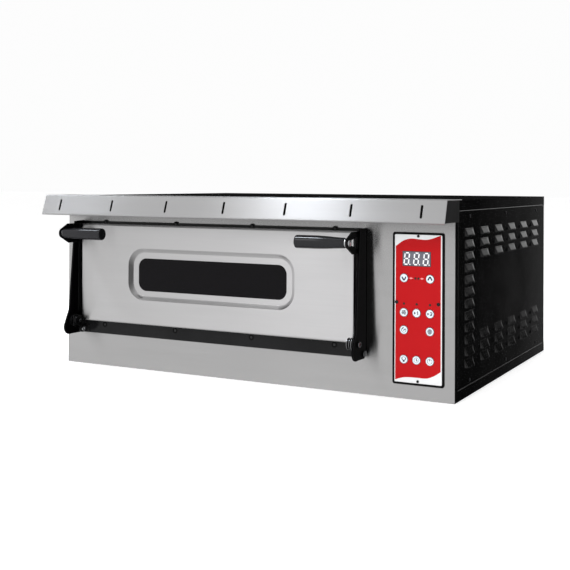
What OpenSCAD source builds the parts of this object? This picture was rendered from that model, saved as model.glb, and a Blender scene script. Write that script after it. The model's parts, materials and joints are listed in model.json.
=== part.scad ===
/* [Cabinet] */
// Width of the cabinet, across the front
body_w = 1000; // [950:10:1050]
// Depth of the cabinet, from the fascia to the back panel
body_d = 750; // [740:10:900]
// Height of the cabinet, without the canopy's sheet
body_h = 413; // [410:1:425]
// Thickness of the folded outer sheets
sheet = 1.5; // [1.2:0.1:1.5]
// Height of the band that the base tray shows on each side
base_band = 22.7; // [20:0.1:24]
// Height of the band that the roof cover shows on each side
roof_band = 23.2; // [20:0.1:24]
// Depth of the strip that the front posts show on each side
front_strip = 20.7; // [19:0.1:22]
// Depth of the strip that the rear posts show on each side
rear_strip = 15; // [14:0.5:16]

/* [Canopy] */
// How far the canopy stands past each side of the cabinet
canopy_overhang = 9; // [6:1:12]
// How far the canopy's top edge stands in front of the fascia
canopy_reach_top = 75; // [70:1:80]
// How far the canopy's bottom edge stands in front of the fascia
canopy_reach_low = 91; // [85:1:95]
// Height of the canopy's bottom edge
canopy_low_z = 367; // [362:1:370]
// Number of vent slots along the canopy
canopy_slots = 7; // [5:1:9]
// Distance between two vent slots
canopy_slot_pitch = 152.8; // [100:0.1:154]

/* [Side louvers] */
// Length of a louver, along the cabinet
louver_l = 58; // [50:1:62]
// Height of a louver
louver_h = 16; // [14:1:17]
// How far a louver stands out of its panel
louver_out = 6.5; // [5:0.5:8]
// Distance between two louver columns
louver_pitch_y = 110; // [104:1:111]
// Distance between two louver rows
louver_pitch_z = 24.9; // [20:0.1:25]

/* [Oven chamber] */
// Sideways place of the chamber and its door, from the cabinet's middle
door_x = -76; // [-80:1:-70]
// Inner width of the chamber
chamber_w = 660; // [640:10:660]
// Height of the chamber's ceiling
chamber_top = 306; // [300:1:308]
// Height of the chamber's floor sheet
chamber_low = 128; // [120:1:130]
// Height of the stones' upper face, which is the baking floor
stone_top = 166; // [164:1:168]
// Height of the lower edge of the loading mouth
mouth_low = 160; // [156:1:162]
// Depth of the chamber
chamber_d = 688; // [680:1:690]
// Number of loops in each set of heating elements
element_loops = 5; // [3:1:6]

/* [Door] */
// Width of the steel door skin
skin_w = 730; // [720:1:736]
// Height of the door skin's lower edge
skin_low = 110; // [108:1:114]
// Height of the door skin's upper edge
skin_top = 345; // [340:1:346]
// How far the door skin's face stands in front of the fascia
skin_reach = 26; // [24:1:28]
// Width of the clear window
window_w = 395; // [360:1:400]
// Height of the clear window
window_h = 77; // [70:1:80]
// Corner radius of the clear window
window_r = 21; // [15:1:25]
// Distance between the inner faces of the two levers
lever_gap = 755; // [752:1:760]
// Thickness of the lever plates
lever_t = 4; // [3:0.5:4]
// Height of the hinge axis
hinge_z = 88; // [87:0.5:89]
// How far the hinge axis stands in front of the fascia
hinge_reach = 13; // [13:0.5:14]
// Radius of a hinge pin
pin_r = 4; // [3:0.5:4.5]
// How far the grips' middle line stands in front of the fascia
grip_reach = 82; // [80:1:86]
// Height of the grips' middle line
grip_z = 323.5; // [318:0.5:326]
// Length of a grip
grip_l = 118; // [110:1:125]
// Largest diameter of a grip
grip_d = 28; // [26:1:30]

/* [Control panel] */
// Sideways place of the panel's middle, from the cabinet's middle
panel_x = 422; // [420:1:424]
// Width of the black gasket
gasket_w = 112.4; // [110:0.1:116]
// Height of the gasket's lower edge
gasket_low = 30; // [28:1:32]
// Height of the gasket's upper edge
gasket_top = 345.5; // [344:0.5:346]
// Visible width of the gasket
gasket_band = 4.5; // [3:0.5:5]
// Radius of a push button
button_r = 9; // [7:0.5:9]
// Travel of a push button
button_travel = 0.8; // [0.3:0.1:1]

/* [Back] */
// Inner radius of the steam outlet pipe
outlet_r = 18.5; // [15:0.5:20]
// How far the steam outlet stands out of the back panel
outlet_reach = 40; // [30:1:50]
// Radius of the hole in the cable gland
gland_r = 6.5; // [4:0.5:7]
// Radius of the stand bolt holes in the base
stand_hole_r = 4.5; // [3:0.5:5]
// Sideways distance between the stand bolt holes
stand_span_x = 860; // [800:10:900]
// Distance between the stand bolt holes, front to back
stand_span_y = 590; // [500:10:620]

/* [Hidden] */
$fn = 48;
half_w = body_w / 2;
grip_r = grip_d / 2;
front_most = -(grip_reach + grip_r);
back_most = body_d + outlet_reach;
// The frame's origin is under the middle of the whole object's box
mid_y = (front_most + back_most) / 2;

canopy_half = half_w + canopy_overhang;
panel_low = base_band;
panel_top = body_h - roof_band;
panel_front = front_strip;
panel_back = body_d - rear_strip;
panel_screw_ys = [panel_front + 78, panel_front + 356, panel_back - 75];
panel_screw_zs = [panel_low + 10.5, panel_top - 11.5];
louver_top_z = 344.9;
louver_rows = 12;
louver_first_y = 93;
louver_cols = 6;

chamber_left = door_x - chamber_w / 2;
chamber_right = door_x + chamber_w / 2;
liner_t = 1.5;
chamber_back = sheet + chamber_d;
partition_x = chamber_right + liner_t + 46;
insulation_side = chamber_right + liner_t;
insulation_back_y = chamber_back + liner_t + 20;
insulation_back_end = body_d - sheet - 10;
stone_t = 16;
lamp_at = [90, 250];
lamp_r = 30;
element_r = 4.2;
element_bend = 28;
element_pitch = 126;
element_front_y = 60;
element_back_y = chamber_back + 14;
upper_element_z = chamber_top - 14;
lower_element_z = chamber_low + 10;
probe_x = door_x + 189;

frame_t = 3;
mouth_frame_half = lever_gap / 2 - 3.5;
mouth_frame_low = 77;
mouth_frame_top = 351;
frame_screw_pitch = 205.6;
frame_screw_zs = [99.5, 348.1];
frame_screw_head = 0.6;

skin_t = 1.2;
skin_mid_z = (skin_low + skin_top) / 2;
skin_y = -skin_reach;
recess_w = window_w + 44;
recess_h = window_h + 38;
recess_r = window_r + 18;
recess_d = 10;
tray_y = -5;
tray_t = 1.5;
plug_w = chamber_w - 10;
plug_low = mouth_low + 6;
plug_top = chamber_top - 7;
plug_depth = 14;
inner_window_w = 384;
inner_window_h = 66;
inner_window_r = 16;
pane_t = 4;

lever_in = lever_gap / 2;
lever_out = lever_in + lever_t;
lever_back_y = -1.6;
hinge_y = -hinge_reach;
lobe = [-50, 96, 19];
bush_y = -40;
bush_z = 110.5;
bush_bolt_r = 4;
fit = 0.05;

card_w = gasket_w - 2 * gasket_band;
card_low = gasket_low + gasket_band;
card_top = gasket_top - gasket_band;
card_t = 2.2;
cutout_w = 85;
cutout_low = 46;
cutout_top = 331;
display_w = 62;
display_h = 31;
display_x = -3.5;
display_z = 291;
key_cols = [-31, -3.2, 25.8];
key_rows = [250.5, 179.2, 143, 82.2];
led_row_z = 197.4;
led_pair_x = [-6, 0.6];
led_r = 1.6;
control_screws_xz = [[0, 337.8], [-0.4, 38.6], [-47.2, 199.8], [44, 199.8]];
board_y = 12;

outlet_x = door_x - 170;
outlet_z = 270;
gland_x = 420;
gland_z = 62;
stud_x = 462;

// Drawing helpers: all parts are drawn with the fascia's back plane at y = 0
module place() {
    translate([0, -mid_y, 0]) children();
}

// A drawing of (x, z), given a thickness from y0 towards the back
module from_front(y0, t) {
    translate([0, y0 + t, 0]) rotate([90, 0, 0]) linear_extrude(t) children();
}

// A drawing of (y, z), given a thickness from x0 to the right
module from_side(x0, t) {
    translate([x0, 0, 0]) rotate([90, 0, 90]) linear_extrude(t) children();
}

module block(low, high) {
    translate(low) cube(high - low);
}

module rod_x(x0, y, z, len, r) {
    translate([x0, y, z]) rotate([0, 90, 0]) cylinder(h = len, r = r);
}

module rod_y(x, y0, z, len, r) {
    translate([x, y0, z]) rotate([-90, 0, 0]) cylinder(h = len, r = r);
}

module rounded_rect(w, h, r) {
    square([w - 2 * r, h], center = true);
    square([w, h - 2 * r], center = true);
    for (sx = [-1, 1], sy = [-1, 1])
        translate([sx * (w / 2 - r), sy * (h / 2 - r)]) circle(r);
}

// Both sides of the cabinet, as mirror images
module both_sides() {
    for (s = [0, 1]) mirror([s, 0, 0]) children();
}

// Both ends of the door, as mirror images about the door's middle
module both_door_ends() {
    translate([door_x, 0, 0]) both_sides() children();
}

// Cabinet
module base_tray() {
    lip_top = base_band + 22;
    place() color("#141416") difference() {
        union() {
            block([-half_w, sheet, 0], [half_w, body_d, 2]);
            both_sides() {
                block([half_w - 2, sheet, 2], [half_w, body_d, base_band]);
                block([half_w - sheet - 2, panel_front + 30, base_band - 2],
                    [half_w - sheet, panel_back - 30, lip_top]);
            }
            block([-half_w + 2, body_d - sheet - 2, 2], [half_w - 2, body_d - sheet, base_band]);
            block([-half_w + 2, sheet, 2], [half_w - 2, sheet + 2, base_band]);
        }
        for (sx = [-1, 1], sy = [-1, 1])
            translate([sx * stand_span_x / 2, body_d / 2 + sy * stand_span_y / 2, -1])
                cylinder(h = 4, r = stand_hole_r);
        for (sx = [-1, 1], y = panel_screw_ys)
            rod_x(sx * (half_w - 5) - 4, y, panel_screw_zs[0], 8, 2);
    }
}

module front_fascia() {
    place() color("#bdbdbc") difference() {
        from_front(0, sheet) difference() {
            translate([-half_w, 0]) square([body_w, body_h]);
            translate([chamber_left, mouth_low]) square([chamber_w, chamber_top - mouth_low]);
            translate([panel_x - cutout_w / 2 - 1, cutout_low])
                square([cutout_w, cutout_top - cutout_low]);
        }
        for (p = control_screws_xz) rod_y(panel_x + p[0], -1, p[1], 4, 1.6);
        for (i = [-1.5 : 1.5], z = frame_screw_zs)
            rod_y(door_x + i * frame_screw_pitch, -1, z, 4, 2);
    }
}

module post_profile(depth, joggle) {
    square([2, depth]);
    translate([2, 0]) square([24, 2]);
    translate([joggle, depth - 2]) square([2, 22]);
}

module corner_posts() {
    place() color("#17171a") both_sides() {
        translate([half_w, sheet, base_band]) mirror([1, 0, 0])
            linear_extrude(panel_top - base_band)
                post_profile(front_strip - sheet, sheet);
        translate([half_w, body_d - sheet, base_band]) rotate([0, 0, 180])
            linear_extrude(panel_top - base_band)
                post_profile(rear_strip - sheet, sheet);
    }
}

module roof_cover() {
    lip_low = panel_top - 22;
    place() color("#161618") difference() {
        union() {
            block([-half_w, sheet, body_h - 2], [half_w, body_d, body_h]);
            both_sides() {
                block([half_w - 2, sheet, panel_top], [half_w, body_d, body_h - 2]);
                block([half_w - sheet - 2, panel_front + 30, lip_low],
                    [half_w - sheet, panel_back - 30, panel_top + 2]);
            }
        }
        for (sx = [-1, 1], y = panel_screw_ys)
            rod_x(sx * (half_w - 5) - 4, y, panel_screw_zs[1], 8, 2);
    }
}

// A pressed hood: flush with the panel at its top, open downwards at its bottom
module louver_shell(l, h, out) {
    rotate([90, 0, 0]) linear_extrude(l, center = true)
        polygon([[0, h], [0, 0], [out, 0], [out, 2.5], [1.2, h]]);
}

module louver(y, z) {
    translate([half_w, y, z - louver_h / 2]) difference() {
        louver_shell(louver_l, louver_h, louver_out);
        translate([-1.2, 0, -0.4]) louver_shell(louver_l - 3, louver_h - 1, louver_out);
    }
}

module louver_slot(y, z) {
    block([half_w - 3, y - louver_l / 2 + 1.5, z - louver_h / 2],
        [half_w + 0.4, y + louver_l / 2 - 1.5, z + louver_h / 2 - 4]);
}

// The louver field: a full first column, and three rows along the top and the bottom
function louver_used(col, row) = col == 0 || row < 3 || row > 8;

module each_louver() {
    for (col = [0 : louver_cols - 1], row = [0 : louver_rows - 1])
        if (louver_used(col, row)) {
            $louver_y = louver_first_y + col * louver_pitch_y;
            $louver_z = louver_top_z - row * louver_pitch_z;
            children();
        }
}

module side_panel() {
    difference() {
        block([half_w - sheet, panel_front, panel_low], [half_w, panel_back, panel_top]);
        each_louver() louver_slot($louver_y, $louver_z);
        for (y = panel_screw_ys, z = panel_screw_zs) rod_x(half_w - 4, y, z, 8, 2.1);
    }
    each_louver() louver($louver_y, $louver_z);
}

module side_panel_right() {
    place() color("#101012") side_panel();
}

module side_panel_left() {
    place() color("#101012") mirror([1, 0, 0]) side_panel();
}

module back_panel() {
    place() color("#1a1a1c") difference() {
        block([-half_w + 2, body_d - sheet, base_band], [half_w - 2, body_d, body_h - 2]);
        rod_y(outlet_x, body_d - 4, outlet_z, 8, outlet_r + 1.8);
        rod_y(gland_x, body_d - 4, gland_z, 8, 10.2);
        rod_y(stud_x, body_d - 4, gland_z, 8, 3.2);
        for (i = [0 : 9])
            block([320 + i * 15, body_d - 4, 290], [326 + i * 15, body_d + 1, 350]);
        for (x = [-450, -150, 150, 450], z = [45, 380]) rod_y(x, body_d - 4, z, 8, 2.1);
    }
}

module side_screw(y, z) {
    rod_x(half_w, y, z, 1.6, 3.8);
    rod_x(half_w - 5.5, y, z, 5.5, 2);
}

module cabinet_screws() {
    place() color("#2b2b2e") {
        both_sides() for (y = panel_screw_ys, z = panel_screw_zs) side_screw(y, z);
        for (x = [-450, -150, 150, 450], z = [45, 380]) {
            rod_y(x, body_d, z, 1.6, 3.8);
            rod_y(x, body_d - 8, z, 8, 2);
        }
    }
}

// Canopy
module canopy_profile() {
    t = sheet;
    slope = (canopy_reach_low - canopy_reach_top) / (body_h - canopy_low_z);
    polygon([[16, body_h], [16, body_h + t], [-canopy_reach_top, body_h + t],
        [-canopy_reach_low, canopy_low_z], [-canopy_reach_low + 10, canopy_low_z],
        [-canopy_reach_low + 10, canopy_low_z + t],
        [-canopy_reach_low + t + slope * t, canopy_low_z + t], [-canopy_reach_top + t, body_h]]);
}

module canopy() {
    slot_z = 391.5;
    slot_y = -(canopy_reach_top + canopy_reach_low) / 2;
    lean = atan2(canopy_reach_low - canopy_reach_top, body_h - canopy_low_z);
    place() color("#cfcfce") difference() {
        from_side(-canopy_half, 2 * canopy_half) canopy_profile();
        for (i = [0 : canopy_slots - 1])
            translate([(i - (canopy_slots - 1) / 2) * canopy_slot_pitch, slot_y, slot_z])
                rotate([90 - lean, 0, 0]) linear_extrude(12, center = true)
                    rounded_rect(4, 27, 1.9);
    }
}

module canopy_end_caps() {
    t = sheet;
    place() color("#18181b") both_sides()
        from_side(canopy_half - t, t)
            polygon([[-0.5, body_h - 0.2], [-canopy_reach_top + 2.4, body_h - 0.2],
                [-canopy_reach_low + 3.2, canopy_low_z + t + 0.2], [-0.5, canopy_low_z + t + 0.2]]);
}

// Mouth frame: the black plate that the door closes on
module mouth_frame() {
    place() color("#26262a") difference() {
        from_front(-frame_t, frame_t) difference() {
            translate([door_x - mouth_frame_half, mouth_frame_low])
                square([2 * mouth_frame_half, mouth_frame_top - mouth_frame_low]);
            translate([chamber_left, mouth_low]) square([chamber_w, chamber_top - mouth_low]);
        }
        for (i = [-1.5 : 1.5], z = frame_screw_zs)
            rod_y(door_x + i * frame_screw_pitch, -4, z, 5, 2.1);
    }
}

module mouth_frame_screws() {
    place() color("#202024") for (i = [-1.5 : 1.5], z = frame_screw_zs) {
        rod_y(door_x + i * frame_screw_pitch, -frame_t - frame_screw_head, z, frame_screw_head, 2.8);
        rod_y(door_x + i * frame_screw_pitch, -frame_t, z, 8, 2);
    }
}

// Chamber
module chamber_liner() {
    t = liner_t;
    ledge = 8;
    place() color("#8f8f90") difference() {
        union() {
            difference() {
                block([chamber_left - t, sheet, chamber_low - t],
                    [chamber_right + t, chamber_back + t, chamber_top + t]);
                block([chamber_left, sheet - 1, chamber_low],
                    [chamber_right, chamber_back, chamber_top]);
            }
            for (x = [chamber_left, chamber_right - ledge])
                block([x, 14, stone_top - stone_t - 3],
                    [x + ledge, chamber_back, stone_top - stone_t]);
            block([door_x - ledge, 14, chamber_low], [door_x + ledge, 17, stone_top - stone_t]);
            block([door_x - ledge, chamber_back - 12, chamber_low],
                [door_x + ledge, chamber_back - 9, stone_top - stone_t]);
        }
        each_element() for (s = [-1, 1])
            rod_y($element_x + s * element_bend, chamber_back - 2, $element_z, 6, element_r);
        rod_x(chamber_right - 2, lamp_at[0], lamp_at[1], 6, lamp_r);
        rod_y(outlet_x, chamber_back - 2, outlet_z, 6, outlet_r);
        rod_y(probe_x, chamber_back - 2, upper_element_z, 6, 2);
    }
}

module refractory_stones() {
    plate_w = chamber_w / 2 - 3;
    place() color("#cfc3ad") for (s = [-1, 1])
        translate([door_x + s * (plate_w / 2 + 1), 0, 0])
            block([-plate_w / 2, 18, stone_top - stone_t], [plate_w / 2, chamber_back - 12, stone_top]);
}

module each_element() {
    for (i = [0 : element_loops - 1], z = [lower_element_z, upper_element_z]) {
        $element_x = door_x + (i - (element_loops - 1) / 2) * element_pitch;
        $element_z = z;
        children();
    }
}

module element_hairpin(x, z) {
    bend_y = element_front_y + element_bend;
    for (s = [-1, 1])
        rod_y(x + s * element_bend, bend_y, z, element_back_y - bend_y, element_r);
    translate([x, bend_y, z]) rotate([0, 0, 180]) rotate_extrude(angle = 180)
        translate([element_bend, 0]) circle(element_r);
}

module heating_elements() {
    place() color("#4a4038") each_element() element_hairpin($element_x, $element_z);
}

module insulation_slabs() {
    t = liner_t;
    slab_top = body_h - 14;
    left = -half_w + 6;
    place() color("#e8e0c8") {
        block([left, 8, base_band + 22], [chamber_left - t, insulation_back_y, slab_top]);
        difference() {
            block([insulation_side, 8, base_band + 22], [partition_x, insulation_back_y, slab_top]);
            rod_x(insulation_side - 1, lamp_at[0], lamp_at[1], 40, lamp_r + 2);
        }
        block([chamber_left - t, 8, chamber_top + t], [chamber_right + t, insulation_back_y, slab_top]);
        block([chamber_left - t, 8, base_band + 22],
            [chamber_right + t, insulation_back_y, chamber_low - t]);
        difference() {
            block([left, insulation_back_y, base_band + 22],
                [partition_x, insulation_back_end, slab_top]);
            rod_y(outlet_x, insulation_back_y - 1, outlet_z, 60, outlet_r + 1.6);
        }
    }
}

module lamp_housing() {
    place() color("#a8a8a8") difference() {
        rod_x(chamber_right - 0.5, lamp_at[0], lamp_at[1], 36, lamp_r);
        rod_x(chamber_right - 1, lamp_at[0], lamp_at[1], 34, lamp_r - 2);
    }
}

module lamp_bulb() {
    place() color("#fff2cf") {
        rod_x(chamber_right + 19, lamp_at[0], lamp_at[1], 14, 9);
        translate([chamber_right + 19, lamp_at[0], lamp_at[1]]) sphere(9);
    }
}

module lamp_glass() {
    place() color("#e9f2f2") rod_x(chamber_right + 1, lamp_at[0], lamp_at[1], 4, lamp_r - 2);
}

module temperature_probe() {
    place() color("#b9bcc0") {
        rod_y(probe_x, chamber_back - 110, upper_element_z, 124, 2);
        rod_y(probe_x, chamber_back + liner_t, upper_element_z, 5, 5);
    }
}

// Component bay
module bay_partition() {
    place() color("#b4b4b4") block([partition_x, 8, base_band + 4],
        [partition_x + sheet, body_d - 8, body_h - 14]);
}

module control_board() {
    place() color("#2f6b3c") {
        block([panel_x - 41, board_y, 52], [panel_x + 41, board_y + 1.6, 326]);
        block([panel_x - 20, board_y + 1.6, 210], [panel_x + 10, board_y + 5, 240]);
        for (i = [0 : 3])
            block([panel_x - 36 + i * 19, board_y + 1.6, 110], [panel_x - 21 + i * 19, board_y + 18, 135]);
    }
}

module contactors() {
    x0 = partition_x + sheet;
    place() color("#3c3c40") {
        block([x0, 300, 232], [x0 + 7, 520, 267]);
        for (i = [0 : 2])
            block([x0 + 7, 316 + i * 64, 205], [x0 + 78, 364 + i * 64, 294]);
    }
}

module transformer() {
    x0 = partition_x + sheet;
    place() color("#7a5a36") {
        block([x0, 130, 90], [x0 + 52, 210, 156]);
        block([x0 + 10, 118, 104], [x0 + 42, 130, 142]);
        block([x0 + 10, 210, 104], [x0 + 42, 222, 142]);
    }
}

module terminal_block() {
    place() color("#d9d4c4") for (i = [0 : 5])
        block([396 + i * 11, 640, 24 + base_band], [405 + i * 11, 690, 62 + base_band]);
}

module safety_thermostat() {
    x0 = partition_x + sheet;
    place() color("#c9c5bb") {
        rod_x(x0, 600, 300, 22, 17);
        rod_x(x0 + 22, 600, 300, 8, 5);
    }
}

// Control panel
module control_gasket() {
    mid_z = (gasket_low + gasket_top) / 2;
    high = gasket_top - gasket_low;
    place() color("#0c0c0d") from_front(-3, 3)
        translate([panel_x, mid_z]) difference() {
            rounded_rect(gasket_w, high, 5);
            rounded_rect(card_w, high - 2 * gasket_band, 2.5);
        }
}

// Every push button: column, row
keys = [[0, 0], [2, 0], [0, 1], [1, 1], [2, 1], [0, 2], [2, 2], [0, 3], [1, 3], [2, 3]];

function key_x(k) = panel_x + key_cols[keys[k][0]];
function key_z(k) = key_rows[keys[k][1]];

module control_plate() {
    mid_z = (gasket_low + gasket_top) / 2;
    high = card_top - card_low;
    place() color("#cc181d") difference() {
        from_front(-card_t, card_t) difference() {
            translate([panel_x, mid_z]) rounded_rect(card_w - 0.2, high - 0.2, 2.4);
            translate([panel_x + display_x, display_z]) square([display_w, display_h], center = true);
        }
        for (k = [0 : len(keys) - 1]) rod_y(key_x(k), -5, key_z(k), 8, button_r + 0.3);
        for (c = key_cols) rod_y(panel_x + c, -5, led_row_z, 8, led_r);
        for (x = led_pair_x) rod_y(panel_x + x, -5, key_rows[0], 8, led_r);
        for (p = control_screws_xz) rod_y(panel_x + p[0], -5, p[1], 8, 1.6);
    }
}

module display_module() {
    x = panel_x + display_x;
    place() color("#2a2a2e")
        block([x - display_w / 2, 0, display_z - display_h / 2],
            [x + display_w / 2, board_y, display_z + display_h / 2]);
}

module display_lens() {
    x = panel_x + display_x;
    place() color("#8d8f94")
        block([x - display_w / 2, -card_t - 0.3, display_z - display_h / 2],
            [x + display_w / 2, 0, display_z + display_h / 2]);
}

module indicator_leds() {
    place() color("#24302c") {
        for (c = key_cols) rod_y(panel_x + c, -card_t - 0.3, led_row_z, board_y + card_t + 0.3, led_r);
        for (x = led_pair_x)
            rod_y(panel_x + x, -card_t - 0.3, key_rows[0], board_y + card_t + 0.3, led_r);
    }
}

module control_screws() {
    place() color("#0e0e10") for (p = control_screws_xz) {
        rod_y(panel_x + p[0], -card_t - 1.4, p[1], 1.4, 2.9);
        rod_y(panel_x + p[0], -card_t, p[1], 8, 1.5);
    }
}

// A push button: a raised cap, a flange that keeps it behind the plate, and a stem
module push_button(k) {
    place() color("#e8eef4") {
        rod_y(key_x(k), -card_t - 1, key_z(k), card_t + 1.3, button_r);
        rod_y(key_x(k), 0.3, key_z(k), 1.2, button_r + 1);
        rod_y(key_x(k), 1.5, key_z(k), board_y - 1.5 - button_travel - 0.6, 3);
    }
}

module button_down() { push_button(0); }
module button_up() { push_button(1); }
module button_set() { push_button(2); }
module button_program_1() { push_button(3); }
module button_program_2() { push_button(4); }
module button_delay() { push_button(5); }
module button_elements() { push_button(6); }
module button_lamp() { push_button(7); }
module button_timer() { push_button(8); }
module button_power() { push_button(9); }

// Back fittings
module steam_outlet() {
    start = chamber_back + liner_t;
    place() color("#a9abad") difference() {
        union() {
            rod_y(outlet_x, start, outlet_z, back_most - start, outlet_r + 1.5);
            rod_y(outlet_x, body_d, outlet_z, 2, outlet_r + 14);
        }
        rod_y(outlet_x, start - 1, outlet_z, back_most - start + 2, outlet_r);
    }
}

module cable_gland() {
    place() color("#1b1b1d") difference() {
        union() {
            rod_y(gland_x, body_d - 12, gland_z, 12, 10);
            translate([gland_x, body_d, gland_z]) rotate([-90, 0, 0]) cylinder(h = 7, r = 15, $fn = 6);
            rod_y(gland_x, body_d + 7, gland_z, 17, 11.5);
        }
        rod_y(gland_x, body_d - 13, gland_z, 40, gland_r);
    }
}

module earth_stud() {
    place() color("#c9a64a") {
        rod_y(stud_x, body_d - 14, gland_z, 32, 3);
        rod_y(stud_x, body_d, gland_z, 1.5, 7);
        translate([stud_x, body_d + 1.5, gland_z]) rotate([-90, 0, 0]) cylinder(h = 5, r = 5.8, $fn = 6);
    }
}

// Hinges
module hinge_brackets() {
    ear = lever_in - 9;
    ear_r = hinge_reach - frame_t;
    place() color("#1a1a1c") both_door_ends() {
        from_side(ear, 5) difference() {
            union() {
                translate([hinge_y, hinge_z - ear_r]) square([ear_r, 2 * ear_r]);
                translate([hinge_y, hinge_z]) circle(ear_r);
            }
            translate([hinge_y, hinge_z]) circle(pin_r);
        }
        block([ear - 14, -frame_t - 2, hinge_z - ear_r], [ear, -frame_t, hinge_z + ear_r - 2]);
    }
}

module hinge_pins() {
    ear = lever_in - 9;
    place() color("#b9bdc2") both_door_ends() {
        rod_x(ear, hinge_y, hinge_z, lever_out + 0.4 - ear, pin_r);
        rod_x(lever_out + 0.4, hinge_y, hinge_z, 4, 6.5);
    }
}

// Door
module door_skin() {
    flange = -skin_reach + skin_t;
    place() color("#c6c6c5") translate([door_x, 0, skin_mid_z]) {
        from_front(skin_y, skin_t) difference() {
            square([skin_w, skin_top - skin_low], center = true);
            rounded_rect(recess_w, recess_h, recess_r);
        }
        from_front(skin_y + skin_t, recess_d - skin_t) difference() {
            rounded_rect(recess_w + 2 * skin_t, recess_h + 2 * skin_t, recess_r + skin_t);
            rounded_rect(recess_w, recess_h, recess_r);
        }
        from_front(skin_y + recess_d, skin_t) difference() {
            rounded_rect(recess_w + 2 * skin_t, recess_h + 2 * skin_t, recess_r + skin_t);
            rounded_rect(window_w, window_h, window_r);
        }
        from_front(flange, tray_y - flange) difference() {
            square([skin_w, skin_top - skin_low], center = true);
            square([skin_w - 2 * skin_t, skin_top - skin_low - 2 * skin_t], center = true);
        }
    }
}

module window_panes() {
    outer_y = skin_y + recess_d + skin_t;
    inner_y = plug_depth - tray_t - pane_t;
    place() color("#0d0d10") translate([door_x, 0, skin_mid_z]) {
        from_front(outer_y, pane_t) rounded_rect(window_w + 16, window_h + 16, 8);
        from_front(inner_y, pane_t) rounded_rect(inner_window_w + 12, inner_window_h + 12, 8);
    }
}

module window_gasket() {
    outer_y = skin_y + recess_d + skin_t;
    place() color("#111113") translate([door_x, 0, skin_mid_z])
        from_front(outer_y, pane_t) difference() {
            rounded_rect(window_w + 34, window_h + 34, 14);
            rounded_rect(window_w + 16, window_h + 16, 8);
        }
}

module door_insulation() {
    front_y = skin_y + recess_d + skin_t + pane_t;
    place() color("#e6dcc0") from_front(front_y, tray_y - front_y) difference() {
        translate([door_x, skin_mid_z])
            square([skin_w - 2 * skin_t - 2, skin_top - skin_low - 2 * skin_t - 2], center = true);
        translate([door_x, skin_mid_z]) rounded_rect(window_w, window_h, window_r);
    }
}

module door_tray() {
    t = tray_t;
    plug_mid = (plug_low + plug_top) / 2;
    place() color("#1b1b1e") {
        from_front(tray_y, t) difference() {
            translate([door_x, skin_mid_z])
                square([lever_gap - 2 * t, skin_top - skin_low], center = true);
            translate([door_x, plug_mid]) square([plug_w - 2 * t, plug_top - plug_low - 2 * t], center = true);
        }
        from_front(tray_y + t, plug_depth - tray_y - t) translate([door_x, plug_mid]) difference() {
            square([plug_w, plug_top - plug_low], center = true);
            square([plug_w - 2 * t, plug_top - plug_low - 2 * t], center = true);
        }
        from_front(plug_depth - t, t) difference() {
            translate([door_x, plug_mid]) square([plug_w - 2 * t, plug_top - plug_low - 2 * t], center = true);
            translate([door_x, skin_mid_z]) rounded_rect(inner_window_w, inner_window_h, inner_window_r);
        }
        both_door_ends() {
            block([lever_in - t, -21, skin_low + 20], [lever_in, tray_y + t, skin_top]);
            difference() {
                block([lever_in - 11.5, -50, bush_z - 12], [lever_in - 8.5, tray_y + t, bush_z + 12]);
                rod_x(lever_in - 13, bush_y, bush_z, 8, bush_bolt_r);
            }
        }
    }
}

// Lever outline: a narrow top, a straight front edge and a round lobe over the foot
module lever_profile() {
    difference() {
        union() {
            polygon([[lever_back_y, 352], [-33, 350.5], [-52, 136], [-56, 128],
                [lobe[0] - 16, lobe[1] + 10.2], [hinge_y, hinge_z - 10.5],
                [lever_back_y, hinge_z]]);
            translate([lobe[0], lobe[1]]) circle(lobe[2]);
            translate([hinge_y, hinge_z]) circle(-hinge_y + lever_back_y - 0.4);
            polygon([[lobe[0] + 4, lobe[1] - 18.6], [hinge_y, hinge_z - 10.9],
                [hinge_y, hinge_z + 4], [lobe[0], lobe[1]]]);
        }
        translate([hinge_y, hinge_z]) circle(pin_r + fit);
        translate([bush_y, bush_z]) circle(bush_bolt_r);
    }
}

module lever_right() {
    place() color("#131314") translate([door_x, 0, 0]) from_side(lever_in, lever_t) lever_profile();
}

module lever_left() {
    place() color("#131314") translate([door_x, 0, 0]) mirror([1, 0, 0])
        from_side(lever_in, lever_t) lever_profile();
}

module handle_brackets() {
    r = 12;
    place() color("#161617") both_door_ends() from_side(lever_in - 4, 4) difference() {
        union() {
            polygon([[-22, 345.5], [-64, 345.5], [-grip_reach - 8, grip_z + 9],
                [-grip_reach - 8, grip_z - 9], [-60, 299], [-22, 299]]);
            translate([-grip_reach, grip_z]) circle(r);
        }
        polygon([[-41, 333.5], [14 - grip_reach, grip_z + 5.5], [14 - grip_reach, grip_z - 5.5], [-41, 311]]);
        translate([-grip_reach, grip_z]) circle(4);
    }
}

module grip() {
    neck = 11;
    big = grip_r;
    x0 = lever_in - 8;
    translate([x0, -grip_reach, grip_z]) rotate([0, -90, 0]) rotate_extrude() difference() {
        polygon([[0, 0], [neck - 1, 0], [neck, 1], [big, grip_l * 0.4], [big, grip_l - 8],
            [big - 1.5, grip_l - 5], [big - 3, grip_l - 4], [0, grip_l - 4]]);
        square([4, 70]);
    }
}

module grip_right() {
    place() color("#2a2a2e") translate([door_x, 0, 0]) grip();
}

module grip_left() {
    place() color("#2a2a2e") translate([door_x, 0, 0]) mirror([1, 0, 0]) grip();
}

module grip_bolts() {
    place() color("#c9ccd0") both_door_ends() {
        rod_x(lever_in - 74, -grip_reach, grip_z, 74, 4);
        rod_x(lever_in, -grip_reach, grip_z, 5, 7);
        difference() {
            rod_x(lever_in - 8, -grip_reach, grip_z, 4, 8.5);
            rod_x(lever_in - 9, -grip_reach, grip_z, 6, 4);
        }
    }
}

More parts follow.
